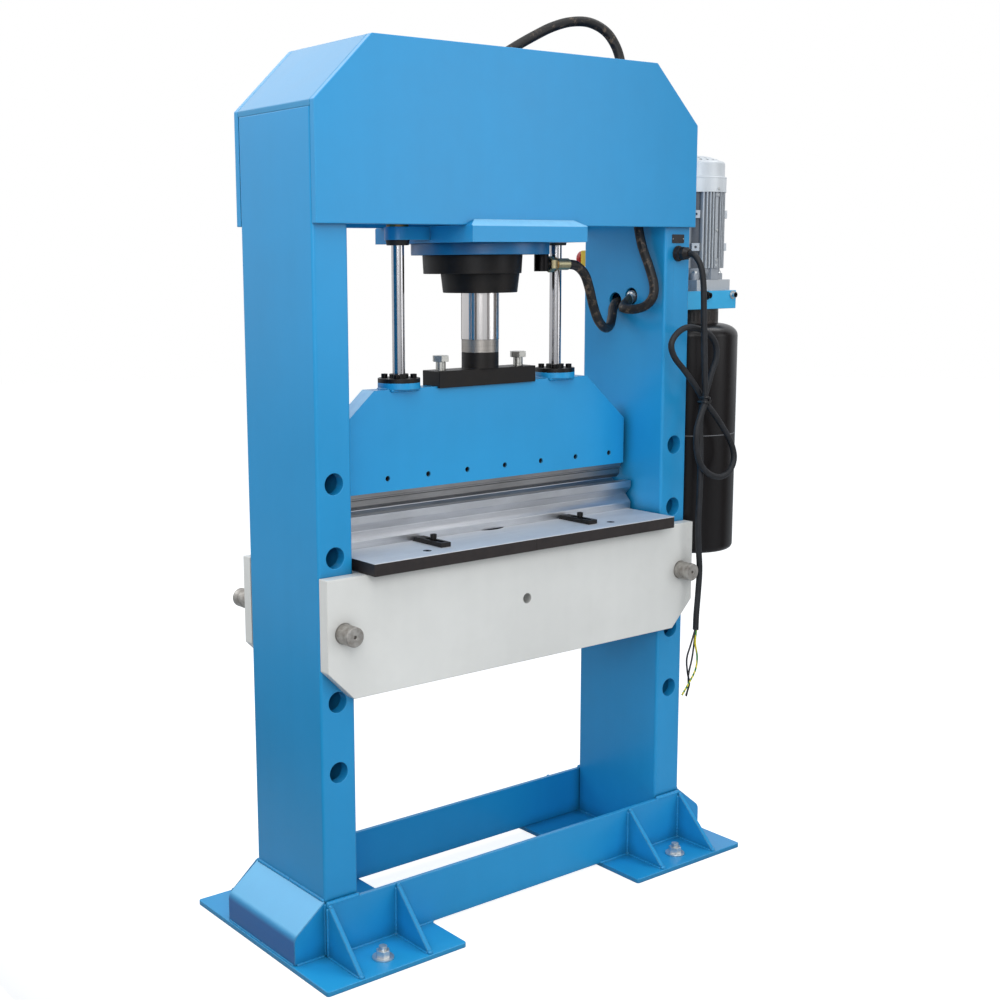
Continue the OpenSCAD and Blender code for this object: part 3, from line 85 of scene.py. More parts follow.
class Wire:
    """An output of a shader node. Sums and products of wires add Math nodes."""

    def __init__(self, tree, socket=None):
        self.tree, self.socket = tree, socket

    def node(self, kind, settings=None, out=0, **inputs):
        """Adds any node. _0, _1 name a socket by its number, other words by its name."""
        made = self.tree.nodes.new("ShaderNode" + kind)
        for name, value in (settings or {}).items():
            if name == "stops":
                ramp = made.color_ramp.elements
                while len(ramp) < len(value):
                    ramp.new(0.5)
                for stop, (place, shade) in zip(ramp, value):
                    stop.position, stop.color = place, shade
            else:
                setattr(made, name, value)
        for name, value in inputs.items():
            key = int(name[1:]) if name[0] == "_" else name.replace("_", " ")
            self.feed(made.inputs[key], value)
        return Wire(self.tree, made.outputs[out])

    def feed(self, socket, value):
        if isinstance(value, Wire):
            self.tree.links.new(value.socket, socket)
        else:
            socket.default_value = value

    def maths(self, operation, *values):
        return self.node("Math", {"operation": operation}, **{f"_{i}": v for i, v in enumerate(values)})

    def __add__(self, other):
        return self.maths("ADD", self, other)

    def __sub__(self, other):
        return self.maths("SUBTRACT", self, other)

    def __rsub__(self, other):
        return self.maths("SUBTRACT", other, self)

    def __mul__(self, other):
        return self.maths("MULTIPLY", self, other)

    def __truediv__(self, other):
        return self.maths("DIVIDE", self, other)

    def __pow__(self, other):
        return self.maths("POWER", self, other)

    def __gt__(self, other):
        return self.maths("GREATER_THAN", self, other)

    def __lt__(self, other):
        return self.maths("LESS_THAN", self, other)

    __radd__, __rmul__ = __add__, __mul__

    def limited(self):
        return self.node("Clamp", Value=self)

    def stretched(self, x, y, z):
        return self.node("VectorMath", {"operation": "MULTIPLY"}, _0=self, _1=(x, y, z))

    def tint(self, low, high):
        """Colour between low and high, by this wire from 0 to 1."""
        return self.node("Mix", {"data_type": "RGBA"}, out=2, _0=self, _6=low, _7=high)


def srgb(red, green, blue):
    """Screen colour from 0 to 255 as the linear colour that a shader takes."""
    parts = [v / 255 for v in (red, green, blue)]
    return (*[v / 12.92 if v <= 0.04045 else ((v + 0.055) / 1.055) ** 2.4 for v in parts], 1)


room = bpy.data.worlds.new("white_room")
bpy.context.scene.world = room
room.use_nodes = True
room.node_tree.nodes.clear()
air = Wire(room.node_tree)
seen = air.node("LightPath", out="Is Camera Ray")
seen = seen.maths("MAXIMUM", seen, air.node("LightPath", out="Is Transmission Ray"))
lit = air.node("Background", Color=(0.84, 0.92, 1, 1), Strength=0.5)
plain = air.node("Background", Color=(1, 1, 1, 1), Strength=1)
shine = air.node("Background", Color=(0.95, 0.97, 1, 1), Strength=0.9)
soft = air.node("MixShader", _0=air.node("LightPath", out="Is Glossy Ray"), _1=lit, _2=shine)
air.feed(room.node_tree.nodes.new("ShaderNodeOutputWorld").inputs["Surface"],
         air.node("MixShader", _0=seen, _1=soft, _2=plain))


def soft_box(name, place, aim, width, height, power):
    """Lamp of width by height metres and power watts at a place, turned to its aim."""
    lamp = bpy.data.lights.new(name, "AREA")
    lamp.shape, lamp.size, lamp.size_y, lamp.energy = "RECTANGLE", width, height, power
    stand = bpy.data.objects.new(name, lamp)
    bpy.context.scene.collection.objects.link(stand)
    stand.location = place
    stand.rotation_mode = "QUATERNION"
    stand.rotation_quaternion = (Vector(aim) - Vector(place)).to_track_quat("-Z", "Y")


soft_box("overhead", (-1.7, -0.8, 4.2), (0, 0, 0.9), 3.2, 3.0, 58)
soft_box("front_left", (-2.6, -3.6, 2.6), (0, 0, 0.9), 1.8, 2.4, 63)
soft_box("front_right", (2.6, -3.9, 1.9), (0, 0, 0.9), 1.6, 2.2, 18)
soft_box("back_above", (-0.2, 3.3, 3.7), (0, 0, 1.1), 2.6, 1.7, 18)
soft_box("back_left", (-2.2, 3.7, 3.0), (0, 0, 0.5), 1.8, 1.3, 16)
soft_box("right_above", (2.5, -0.3, 4.4), (0, 0, 1.2), 1.3, 1.3, 24)


def built(name, bm, *finishes, smooth=35):
    """Object from bm, smooth across edges that turn by less than the angle."""
    bmesh.ops.remove_doubles(bm, verts=bm.verts, dist=1e-6)
    bmesh.ops.recalc_face_normals(bm, faces=bm.faces)
    for face in bm.faces:
        face.smooth = True
    for edge in bm.edges:
        edge.smooth = len(edge.link_faces) == 2 and edge.calc_face_angle(0) < math.radians(smooth)
    mesh = bpy.data.meshes.new(name)
    bm.to_mesh(mesh)
    bm.free()
    for look in finishes:
        mesh.materials.append(look)
    made = bpy.data.objects.new(name, mesh)
    bpy.context.scene.collection.objects.link(made)
    return made


def bare_material(name):
    """A material with nothing in it, its wire, and the socket that its surface goes into."""
    made = bpy.data.materials.new(name)
    made.use_nodes = True
    made.node_tree.nodes.clear()
    output = made.node_tree.nodes.new("ShaderNodeOutputMaterial")
    return made, Wire(made.node_tree), output.inputs["Surface"]


# The floor looks white to the camera and keeps a faint shadow; to all else it is pale grey
floor_paint, ground, surface = bare_material("floor_paint")
grain = ground.node("TexNoise", Vector=ground.node("TexCoord", out="Object"), Scale=1.5, Detail=3)
matt = ground.node("BsdfDiffuse", Color=grain.tint((0.56, 0.56, 0.56, 1), (0.6, 0.6, 0.6, 1)))
glow = ground.node("Emission", Color=(1, 1, 1, 1), Strength=0.77)
ground.feed(surface, ground.node("MixShader", _0=ground.node("LightPath", out="Is Camera Ray"), _1=matt,
                                 _2=ground.node("AddShader", _0=matt, _1=glow)))
floor_r, floor_gap = 14, 0.0005
bm = bmesh.new()
bmesh.ops.create_circle(bm, cap_ends=True, radius=floor_r, segments=96)
floor = built("floor", bm, floor_paint)
floor.location.z = cad_box[0][2] - floor_gap

# Dark cards that only polished steel mirrors, and a low one that shades the left foot. Each
# has its bearing from the front, its distance, width, height and middle, and whether it shades
card_black, card, surface = bare_material("card_black")
cloth = card.node("TexNoise", Vector=card.node("TexCoord", out="Object"), Scale=4)
card.feed(surface, card.node("BsdfDiffuse", Color=cloth.tint((0.1, 0.08, 0.07, 1), (0.18, 0.15, 0.13, 1))))
for number, (bearing, distance, width, height, middle_z, shades) in enumerate((
        (-66, 2.6, 0.55, 3.2, 1.2, False), (8, 3.2, 0.5, 3.2, 1.2, False), (62, 2.6, 0.9, 3.2, 1.2, False),
        (172, 3.0, 0.6, 3.2, 1.2, False), (-90, 1.08, 2.4, 0.34, 0.17, True))):
    bm = bmesh.new()
    bmesh.ops.create_grid(bm, x_segments=2, y_segments=2, size=0.5)
    flag = built(f"dark_card_{number + 1}", bm, card_black)
    angle = math.radians(bearing - 90)
    flag.location = (distance * math.cos(angle), distance * math.sin(angle), middle_z)
    flag.rotation_euler = (math.pi / 2, 0, angle + math.pi / 2)
    flag.scale = (width, height, 1)
    flag.visible_camera = False
    flag.visible_diffuse = flag.visible_shadow = shades


# ---- Hoses and power cable ----
# Two rubber hydraulic hoses, one over the head and one under it, run from the cylinder into
# the right-hand column. The machine's power cable leaves a gland on that column, is tied in
# a figure of eight, and hangs down to three bare conductors.

def flowing(points, per_span=6):
    """Points of a smooth curve through the given ones, in millimetres from the middle plane."""
    ends = [2 * Vector(points[0]) - Vector(points[1]), 2 * Vector(points[-1]) - Vector(points[-2])]
    p = [ends[0]] + [Vector(q) for q in points] + [ends[1]]
    line = []
    for a, b, c, d in zip(p, p[1:], p[2:], p[3:]):
        for k in range(per_span):
            t = k / per_span
            line.append(0.5 * (2 * b + (c - a) * t + (2 * a - 5 * b + 4 * c - d) * t**2
                               + (3 * b - a - 3 * c + d) * t**3))
    line.append(p[-2])
    return [Vector((middle_x, 0, 0)) + q / 1000 for q in line]


def round_cord(name, points, diameter, look):
    """A round cord along the points, and the place where it starts."""
    curve = bpy.data.curves.new(name, "CURVE")
    curve.dimensions = "3D"
    curve.bevel_depth, curve.bevel_resolution, curve.use_fill_caps = diameter / 2, 5, True
    spline = curve.splines.new("POLY")
    line = flowing(points)
    spline.points.add(len(line) - 1)
    for place, point in zip(spline.points, line):
        place.co = (*point, 1)
    spline.use_smooth = True
    curve.materials.append(look)
    cord = bpy.data.objects.new(name, curve)
    bpy.context.scene.collection.objects.link(cord)
    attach(cord, "frame")
    return cord, line[0]


def material(name, **fixed):
    """A material with some numbers set on its shader, and its wire."""
    made = bpy.data.materials.new(name)
    made.use_nodes = True
    shader = made.node_tree.nodes["Principled BSDF"]
    for socket, value in fixed.items():
        shader.inputs[socket.replace("_", " ")].default_value = value
    return made, Wire(made.node_tree)


def finish(made, **wires):
    """Links wires to the sockets of the material's shader."""
    shader = made.node_tree.nodes["Principled BSDF"]
    for socket, wire in wires.items():
        made.node_tree.links.new(wire.socket, shader.inputs[socket.replace("_", " ")])
    return made


def rubber(name, dark, pale, rough, ribs=0.0, scuffed=None):
    """Black rubber or plastic with dust on it and, on a hose, its cloth's print and pale rubs."""
    made, w = material(name, Metallic=0, Specular_IOR_Level=0.45)
    place = w.node("TexCoord", out="Object")
    dust = w.node("TexNoise", Vector=place, Scale=26, Detail=6, Roughness=0.65)
    dust = w.node("ValToRGB", {"stops": [(0.42, (0, 0, 0, 1)), (0.72, (1, 1, 1, 1))]}, Fac=dust)
    grain = w.node("TexNoise", Vector=place, Scale=900, Detail=2)
    wrap = w.node("TexWave", {"bands_direction": "DIAGONAL"}, Vector=place, Scale=190, Distortion=0.4)
    relief = grain * (1 - ribs) + wrap * ribs
    colours = dust.tint(dark, pale)
    if scuffed:
        rubbed_side = (-0.75, -0.2, -0.6)
        rubs = w.node("TexNoise", Vector=place, Scale=64, Detail=6, Roughness=0.7)
        outer = w.node("VectorMath", {"operation": "DOT_PRODUCT"}, out="Value",
                       _0=w.node("NewGeometry", out="Normal"), _1=rubbed_side)
        colours = (((rubs + outer * 0.07 - 0.57) * 9.0).limited() * 0.7).tint(colours, scuffed)
    return finish(made, Base_Color=colours, Roughness=dust * 0.12 + rough,
                  Normal=w.node("Bump", Strength=0.35, Distance=0.0004, Height=relief))


hose_rubber = rubber("hose_rubber", srgb(12, 12, 15), srgb(38, 35, 33), 0.46, 0.6, srgb(122, 104, 86))
cable_skin = rubber("cable_skin", srgb(18, 20, 24), srgb(36, 39, 45), 0.56)
black_core = rubber("black_core", srgb(22, 22, 24), srgb(52, 52, 52), 0.4)

earth_core, w = material("earth_core", Metallic=0, Roughness=0.4)
stripe = w.node("TexWave", {"bands_direction": "X"}, Vector=w.node("TexCoord", out="Object"), Scale=46)
finish(earth_core, Base_Color=(stripe > 0.45).tint(srgb(46, 130, 58), srgb(226, 208, 40)))

top_route = [
    [68, 0, 1726], [104, 0, 1745], [144, -2, 1765], [186, -5, 1784], [230, -12, 1797], [272, -24, 1798],
    [306, -38, 1781], [327, -48, 1750], [337, -54, 1712], [342, -58, 1670], [350, -61, 1620],
    [360, -62, 1560], [370, -62, 1500], [377, -62, 1440], [381, -66, 1390], [383, -78, 1342],
    [385, -97, 1300], [387, -110, 1262], [384, -111, 1236], [377, -99, 1218], [368, -80, 1210],
    [362, -62, 1209], [362, -47, 1211], [369, -38, 1214], [379, -33, 1219],
]
lower_route = [
    [186, -58, 1306], [212, -58, 1302], [236, -57, 1284], [252, -55, 1254], [268, -50, 1220],
    [292, -41, 1188], [324, -28, 1170], [354, -12, 1172], [377, 4, 1190], [392, 16, 1210],
    [408, 22, 1221], [430, 24, 1225],
]
cable_route = [
    [444, -157, 1326], [445, -174, 1319], [449, -186, 1297], [453, -190, 1262], [456, -190, 1212],
    [459, -190, 1160], [462, -190, 1108], [465, -190, 1056], [467, -190, 1014], [454, -191, 986],
    [441, -192, 952], [441, -192, 916], [454, -192, 880], [486, -190, 854], [523, -188, 844],
    [556, -186, 854], [572, -184, 881], [563, -182, 915], [538, -180, 950], [508, -178, 984],
    [478, -176, 1014], [448, -177, 1048], [414, -178, 1081], [382, -178, 1111], [372, -178, 1139],
    [393, -178, 1163], [431, -176, 1172], [490, -171, 1158], [519, -168, 1134], [525, -167, 1104],
    [512, -166, 1071], [501, -165, 1038], [490, -163, 1008], [480, -166, 962], [476, -172, 910],
    [473, -176, 856], [470, -178, 802], [468, -178, 748], [471, -178, 694], [476, -178, 641],
    [473, -178, 588], [468, -179, 542], [466, -180, 508],
]
core_routes = [
    [[464, -180, 508], [447, -184, 478], [431, -188, 450],
     [432, -190, 418], [440, -189, 392], [431, -188, 366]],
    [[465, -183, 508], [459, -186, 480], [463, -189, 448],
     [456, -191, 420], [436, -191, 394], [416, -190, 370]],
    [[468, -178, 508], [462, -180, 478], [452, -184, 446],
     [440, -186, 412], [440, -186, 384], [434, -186, 363]],
]
hose_d, cable_d, core_d = 0.020, 0.013, 0.004

top_hose, top_exit = round_cord("top_hose_rubber", top_route, hose_d, hose_rubber)
lower_hose, lower_exit = round_cord("lower_hose_rubber", lower_route, hose_d, hose_rubber)
power_cable, cable_exit = round_cord("power_cable_skin", cable_route, cable_d, cable_skin)
cores = [
    round_cord(f"conductor_{k + 1}", route, core_d, look)[0]
    for k, (route, look) in enumerate(zip(core_routes, (black_core, earth_core, black_core)))
]
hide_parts("top_hose")
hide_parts("lower_hose")
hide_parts("power_cable")


def lathe(bm, profile, steps, place):
    """Adds the solid that (radius, height) points make as they turn round Z, moved to a place."""
    rings = []
    for radius, height in profile:
        if radius < 1e-6:
            rings.append([bm.verts.new((0, 0, height))] * steps)
        else:
            rings.append([bm.verts.new((radius * math.cos(2 * math.pi * k / steps),
                                        radius * math.sin(2 * math.pi * k / steps), height))
                          for k in range(steps)])
    made = set()
    for low, high in zip(rings, rings[1:]):
        for k in range(steps):
            corners = [low[k], low[(k + 1) % steps], high[(k + 1) % steps], high[k]]
            corners = list(dict.fromkeys(corners))   # a ring on the axis is a single point
            if len(corners) > 2:
                bm.faces.new(corners)
        made.update(low + high)
    bmesh.ops.transform(bm, matrix=place, verts=list(made))


# Black nylon tie round the crossing of the cable's loops, with its locking head in front
tie_place = Vector((middle_x + 0.478, -0.1765, 1.012))
tie_tilt = Matrix.Rotation(math.radians(14), 4, "Y")
tie_r, tie_t, tie_w, tie_edge = 0.0205, 0.0017, 0.0055, 0.001
lock_offset, lock_size = Vector((-0.004, -0.0185, 0.001)), (0.009, 0.007, 0.008, 1)
bm = bmesh.new()
for low in (-0.006, 0.004):
    lathe(bm, [(tie_r, low), (tie_r + tie_t, low + tie_edge), (tie_r + tie_t, low + tie_w - tie_edge),
               (tie_r, low + tie_w), (tie_r, low)], 32,
          Matrix.Translation(tie_place) @ tie_tilt
          @ Matrix.Rotation(math.radians(51), 4, "Z") @ Matrix.Diagonal((1.3, 0.56, 1, 1)))
lock = bmesh.ops.create_cube(bm, size=1, matrix=Matrix.Translation(tie_place + lock_offset) @ tie_tilt
                             @ Matrix.Diagonal(lock_size))
lock_edges = list(dict.fromkeys(edge for corner in lock["verts"] for edge in corner.link_edges))
bmesh.ops.bevel(bm, geom=lock_edges, offset=0.0008, segments=2, affect="EDGES")
cable_tie = built("cable_tie", bm, black_core)
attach(cable_tie, "frame")


# ---- Feet ----
# Two steel base plates are tied together by two flat beams, and braced by gussets and by a
# folded wedge against each column. All are welded, and sprayed in one coat of blue enamel.

def painted(name, colour, edge_wear_and_highlight, rough=0.34, grime=0.0, painted_highlight_dir=None, upright=None, slope_z=1.0):
    """Sprayed enamel: slow drifts of tone, orange peel, and a thinner coat along the edges, whose
    tone is wear and, where that tone is light, a painted highlight; creases get painted shade.

    A direction given for a highlight picks, on either side, faces with a painted highlight; an
    upright tone is painted shade that deepens as a fold turns from slope_z, its normal's Z, to 0."""
    made, w = material(name, Metallic=0, Specular_IOR_Level=0.36, Coat_Roughness=0.25)
    place = w.node("TexCoord", out="Object")
    drift = w.node("TexNoise", Vector=place, Scale=2.6, Detail=5, Roughness=0.6)
    drift = drift.node("ValToRGB", {"stops": [(0.3, (0, 0, 0, 1)), (0.7, (1, 1, 1, 1))]}, Fac=drift)
    passes = w.node("TexNoise", Vector=place.stretched(26, 26, 1.6), Scale=1, Detail=3)
    deep = tuple(v * 0.9 for v in colour[:3]) + (1,)
    pale = tuple(min(1, v * 1.06 + 0.004) for v in colour[:3]) + (1,)
    tone = (drift * 0.7 + passes * 0.3).tint(deep, pale)
    shape = w.node("NewGeometry", out="Normal")
    rounded = w.node("Bevel", {"samples": 3}, Radius=0.0016)
    flat = w.node("VectorMath", {"operation": "DOT_PRODUCT"}, out="Value", _0=shape, _1=rounded)
    rub = w.node("TexNoise", Vector=place, Scale=60, Detail=4)
    edge = ((1 - flat) * 5.0 * (rub + 0.25)).limited()
    # Painted shade: upright faces take a deeper tone than the slope, graded through the fold
    if upright:
        rise = w.node("SeparateXYZ", out="Z", Vector=shape)
        tone = (rise / slope_z * 1.04 - 0.04).limited().tint(upright, tone)
    # Painted highlight: faces turned to the given direction, on either side, are tinted pale blue
    if painted_highlight_dir:
        either = w.node("VectorMath", {"operation": "ABSOLUTE"}, _0=shape)
        level = w.node("VectorMath", {"operation": "DOT_PRODUCT"}, out="Value", _0=either, _1=painted_highlight_dir)
        tone = ((level > 0.98) * (rub * 0.5 + 0.6)).limited().tint(tone, srgb(150, 216, 250))
    # Painted shade: creases and corners darken by how little open air they see
    crease_shade_ao = w.node("AmbientOcclusion", {"samples": 6}, out="AO", Distance=0.035)
    crease = (crease_shade_ao * 1.15).limited() ** 1.5
    tone = crease.tint(tuple(v * 0.36 for v in colour[:3]) + (1,), tone)
    # Edges take the edge tone: wear, and where that tone is light, a painted highlight
    colours = (edge * 0.55).tint(tone, edge_wear_and_highlight)
    if grime:
        stain = w.node("TexNoise", Vector=place, Scale=7, Detail=7, Roughness=0.7)
        stain = ((stain - 0.52) * 5.0).limited()
        colours = (stain * grime).tint(colours, srgb(176, 170, 158))
    peel = w.node("TexNoise", Vector=place, Scale=330, Detail=2)
    runs = w.node("TexNoise", Vector=place, Scale=38, Detail=2)
    relief = w.node("Bump", Strength=0.16, Distance=0.0012, Height=peel * 0.3 + runs * 0.7,
                    Normal=rounded)
    return finish(made, Base_Color=colours, Roughness=drift * 0.08 + peel * 0.06 + rough - 0.05,
                  Coat_Weight=0.25 - edge * 0.2, Normal=relief)


def eased(piece, width, angle, segments):
    """Rounds the sharp edges of a CAD piece, as its own maker does with a file or a brush."""
    joined = piece.modifiers.new("joined", "WELD")
    joined.merge_threshold = 1e-5
    if width:
        merged = piece.modifiers.new("merged", "DECIMATE")
        merged.decimate_type, merged.angle_limit = "DISSOLVE", math.radians(0.5)
        round_edges = piece.modifiers.new("rounded", "BEVEL")
        round_edges.width, round_edges.segments = width, segments
        round_edges.limit_method, round_edges.angle_limit = "ANGLE", math.radians(angle)
        round_edges.use_clamp_overlap = False
        round_edges.harden_normals = False
    shading = piece.modifiers.new("shading", "WEIGHTED_NORMAL")
    shading.keep_sharp = True


def dress(names, look, width=0.0, angle=32, segments=2):
    """Gives CAD nodes their finish, and edges rounded by a width where they turn by an angle."""
    for name in names.split():
        eased(nodes[name], width, angle, segments)
        for place in nodes[name].material_slots:
            place.material = look


# Its light blue edge tone is partly a thin coat and partly a painted highlight
blue_enamel = painted("blue_enamel", srgb(30, 156, 217), srgb(122, 200, 240))
dress("base_plate_right tie_beam_front tie_beam_rear", blue_enamel, 0.0011)
# The left base plate's enamel is a lighter copy of the frame's blue: painted light
dress("base_plate_left", painted("base_enamel_painted_light", srgb(40, 170, 232), srgb(140, 208, 245)), 0.0011)

base_low, base_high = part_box("base_plate_right")
beam_low, beam_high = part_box("tie_beam_front")
column_low, column_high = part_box("column_right")
stiff_low, stiff_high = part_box("foot_stiffeners")
half_w = column_high.x - middle_x
inner_w = column_low.x - middle_x
half_d = column_high.y
base_top = base_high.z
base_in = base_low.x - middle_x
beam_face, beam_top = beam_low.y, beam_high.z

gusset_t = 0.010
gusset_step = 0.088                              # from the column to the inner gusset's middle
gusset_in = inner_w - gusset_step - gusset_t / 2
gusset_top = beam_top - 0.003
gusset_toe = stiff_low.y
toe_h, head_w = 0.004, 0.004                     # the gusset's blunt ends
wedge_out = stiff_high.x - middle_x
wedge_top = stiff_high.z
wedge_low = base_top + 0.054                     # top of the wedge's upright face
fold_r = 0.020


def prism(bm, outline, step):
    """Adds an outline of corners pulled along a step."""
    near = [bm.verts.new(p) for p in outline]
    far = [bm.verts.new(Vector(p) + Vector(step)) for p in outline]
    bm.faces.new(near[::-1])
    bm.faces.new(far)
    for k in range(len(outline)):
        bm.faces.new([near[k], near[(k + 1) % len(near)], far[(k + 1) % len(near)], far[k]])


def fold(corner, start, end, radius, steps=5):
    """Points of the round fold at a corner between two straight runs, in a plane."""
    a, b = (start - corner).normalized(), (end - corner).normalized()
    half = a.angle(b) / 2
    reach = radius / math.tan(half)
    centre = corner + (a + b).normalized() * (radius / math.sin(half))
    first, last = (corner + a * reach - centre).normalized(), (corner + b * reach - centre).normalized()
    return [centre + radius * first.slerp(last, k / steps) for k in range(steps + 1)]


bm = bmesh.new()
for side in (-1, 1):
    def at(x, y, z):
        return Vector((middle_x + side * x, y, z))

    crease = fold(at(wedge_out, 0, wedge_low), at(wedge_out, 0, base_top), at(half_w, 0, wedge_top), fold_r)
    shape = [at(half_w, 0, base_top), at(wedge_out, 0, base_top), *crease, at(half_w, 0, wedge_top)]
    prism(bm, [p + Vector((0, -half_d, 0)) for p in shape], (0, 2 * half_d, 0))
    for front in (-1, 1):
        for left in (gusset_in, half_w - gusset_t):
            shape = [(beam_face, base_top), (gusset_toe, base_top), (gusset_toe, base_top + toe_h),
                     (beam_face - head_w, gusset_top), (beam_face, gusset_top)]
            prism(bm, [at(left, -front * y, z) for y, z in shape], (side * gusset_t, 0, 0))
bmesh.ops.recalc_face_normals(bm, faces=bm.faces)
bmesh.ops.bevel(bm, geom=[e for e in bm.edges if e.calc_face_angle(0) > math.radians(32)],
                offset=0.0011, segments=2, affect="EDGES")
# The wedge's slope, fold and upright faces take the enamel with painted light and shade
for face in bm.faces:
    outside = abs(face.calc_center_median().x - middle_x) > half_w
    face.material_index = int(outside and abs(face.normal.x) > 0.5 and abs(face.normal.y) < 0.3)
# Painted light and shade: a bright blue on the slope and a deep blue on the upright face
run, rise = wedge_out - half_w, wedge_top - wedge_low
wedge_enamel_painted_light = painted("wedge_enamel_painted_light", srgb(108, 202, 255), srgb(140, 206, 250),
                       upright=srgb(6, 101, 173), slope_z=run / math.hypot(run, rise))
stiffeners = built("foot_gussets_and_wedges", bm, blue_enamel, wedge_enamel_painted_light)
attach(stiffeners, "frame")
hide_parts("foot_stiffeners")


def weld(name, runs, body):
    """Rippled bead along each run of points; a run is (radius, points)."""
    sides = 8
    chance = random.Random(name)
    bm = bmesh.new()
    for radius, points in runs:
        p = [Vector(q) for q in points]
        line, reach = [], 0.0
        for a, b in zip(p, p[1:]):
            count = max(2, int((b - a).length / (radius * 0.42)))
            line += [a.lerp(b, k / count) for k in range(count)]
        line.append(p[-1])
        rings = []
        for i, place in enumerate(line):
            ahead = (line[min(i + 1, len(line) - 1)] - line[max(i - 1, 0)]).normalized()
            side = ahead.orthogonal().normalized()
            up = ahead.cross(side)
            reach += (place - line[i - 1]).length if i else 0
            ripple = 0.86 + 0.14 * abs(math.sin(reach / radius * 1.5))
            swell = radius * (ripple + chance.uniform(-0.07, 0.07))
            swell *= min(1, 0.35 + 0.5 * min(i, len(line) - 1 - i))
            rings.append([bm.verts.new(place + swell * (math.cos(t) * side + math.sin(t) * up))
                          for t in [2 * math.pi * k / sides for k in range(sides)]])
        for low, high in zip(rings, rings[1:]):
            for k in range(sides):
                bm.faces.new([low[k], low[(k + 1) % sides], high[(k + 1) % sides], high[k]])
        bm.faces.new(rings[0][::-1])
        bm.faces.new(rings[-1])
    bead = built(name, bm, blue_enamel, smooth=75)
    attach(bead, body)


def mirrored(runs):
    """The runs, and their mirror images across the middle planes."""
    out = []
    for sx in (1, -1):
        for sy in (1, -1):
            out += [(r, [(middle_x + sx * a, sy * b, c) for a, b, c in points]) for r, points in runs]
    return out


# The beads of one quarter of the feet: those of the column, the beam and the wedge first, then
# those along both faces of each gusset and over its two ends
foot_runs = [
    (0.0055, [(inner_w, -half_d - 0.0045, beam_top), (half_w, -half_d - 0.0045, beam_top)]),
    (0.0042, [(half_w, -half_d + 0.003, wedge_top), (half_w, 0, wedge_top)]),
    (0.0038, [(half_w + 0.002, -half_d, base_top), (wedge_out - 0.004, -half_d, base_top)]),
    (0.0025, [(wedge_out, -half_d + 0.004, base_top), (wedge_out, 0, base_top)]),
    (0.0034, [(half_w, -half_d, base_top), (half_w, -half_d, beam_top)]),
    (0.0030, [(base_in + 0.004, beam_face, base_top), (half_w, beam_face, base_top)]),
    (0.0035, [(base_in - 0.004, beam_face + 0.001, base_top), (base_in + 0.012, beam_face, base_top)]),
    (0.0025, [(inner_w, -half_d, base_top), (inner_w, 0, base_top)]),
]
for left in (gusset_in, half_w - gusset_t):
    for face in (left, left + gusset_t):
        foot_runs += [
            (0.0036, [(face, beam_face, base_top), (face, beam_face, beam_top - 0.006)]),
            (0.0032, [(face, beam_face, base_top), (face, gusset_toe + 0.002, base_top)]),
        ]
    foot_runs += [
        (0.0055, [(left - 0.001, gusset_toe, base_top + 0.001),
                  (left + gusset_t + 0.001, gusset_toe, base_top + 0.001)]),
        (0.0044, [(left, beam_face - 0.002, beam_top - 0.004),
                  (left + gusset_t, beam_face - 0.002, beam_top - 0.004)]),
    ]
weld("foot_welds", mirrored(foot_runs), "frame")


def metal(name, colour, rough, along=(1, 1, 1), streak=0.25, metallic=1.0, stain=None,
          spread=0.1, patch=14):
    """Bare or plated steel; along stretches its scratches, and stain darkens it in clouds."""
    made, w = material(name, Metallic=metallic, Specular_IOR_Level=0.5)
    place = w.node("TexCoord", out="Object")
    scratch = w.node("TexNoise", Vector=place.stretched(*along), Scale=1, Detail=6, Roughness=0.6)
    cloud = w.node("TexNoise", Vector=place, Scale=patch, Detail=5, Roughness=0.6)
    cloud = ((cloud - 0.38) * 3.2).limited()
    dull = tuple(v * (1 - streak) for v in colour[:3]) + (1,)
    tone = scratch.tint(dull, colour)
    if stain:
        tone = (cloud * 0.55).tint(tone, stain)
    return finish(made, Base_Color=tone, Roughness=cloud * spread + scratch * spread + rough - spread * 0.6,
                  Normal=w.node("Bump", Strength=0.12, Distance=0.0003, Height=scratch))


zinc = metal("zinc", srgb(236, 240, 242), 0.34, (300, 300, 300), 0.3, 0.8, srgb(150, 148, 132))
dress("anchor_bolts", zinc, 0.0006, 25)


# ---- Columns and head ----
# Each column is a hollow box of welded plate with five pairs of holes for the bed's pins.
# Two thick plates across their tops make the head; sheets close its sloping shoulders.

dress("column_left column_right", blue_enamel, 0.0011, 40)
dress("head_plate_front head_plate_rear", blue_enamel, 0.0013)
# The covers' enamel is a duller copy of the frame's blue: painted shade
dress("head_covers", painted("cover_enamel_painted_shade", srgb(30, 144, 197), srgb(122, 200, 240)), 0.0013)


# ---- Cylinder ----
# The cylinder is a turned barrel with a flange under the head's cross slab. Its black gland
# rings guide the chromed rod, whose turned foot stands on the clamp bar's neck.

# The lip's chamfer, on either side, gets a painted highlight
mount_enamel_painted_highlight = painted("mount_enamel_painted_highlight", srgb(30, 156, 217), srgb(122, 200, 240), painted_highlight_dir=(0, 0.545, 0.838))
dress("cylinder_mount", mount_enamel_painted_highlight)
# The barrel's enamel is a deeper copy of the frame's blue: painted shade under the head
dress("cylinder_barrel", painted("barrel_enamel_painted_shade", srgb(20, 112, 166), srgb(90, 165, 205)), 0.0012)
dress("cylinder_cap", blue_enamel, 0.0012)
black_oxide = metal("black_oxide", srgb(25, 24, 25), 0.4, (140, 140, 900), 0.35, 0.5,
                    srgb(46, 41, 37), 0.14)
dress("rod_gland gland_nut", black_oxide, 0.0012)
worn_steel = metal("worn_steel", srgb(150, 148, 144), 0.36, (90, 90, 900), 0.3)
dress("piston", worn_steel, 0.0006)

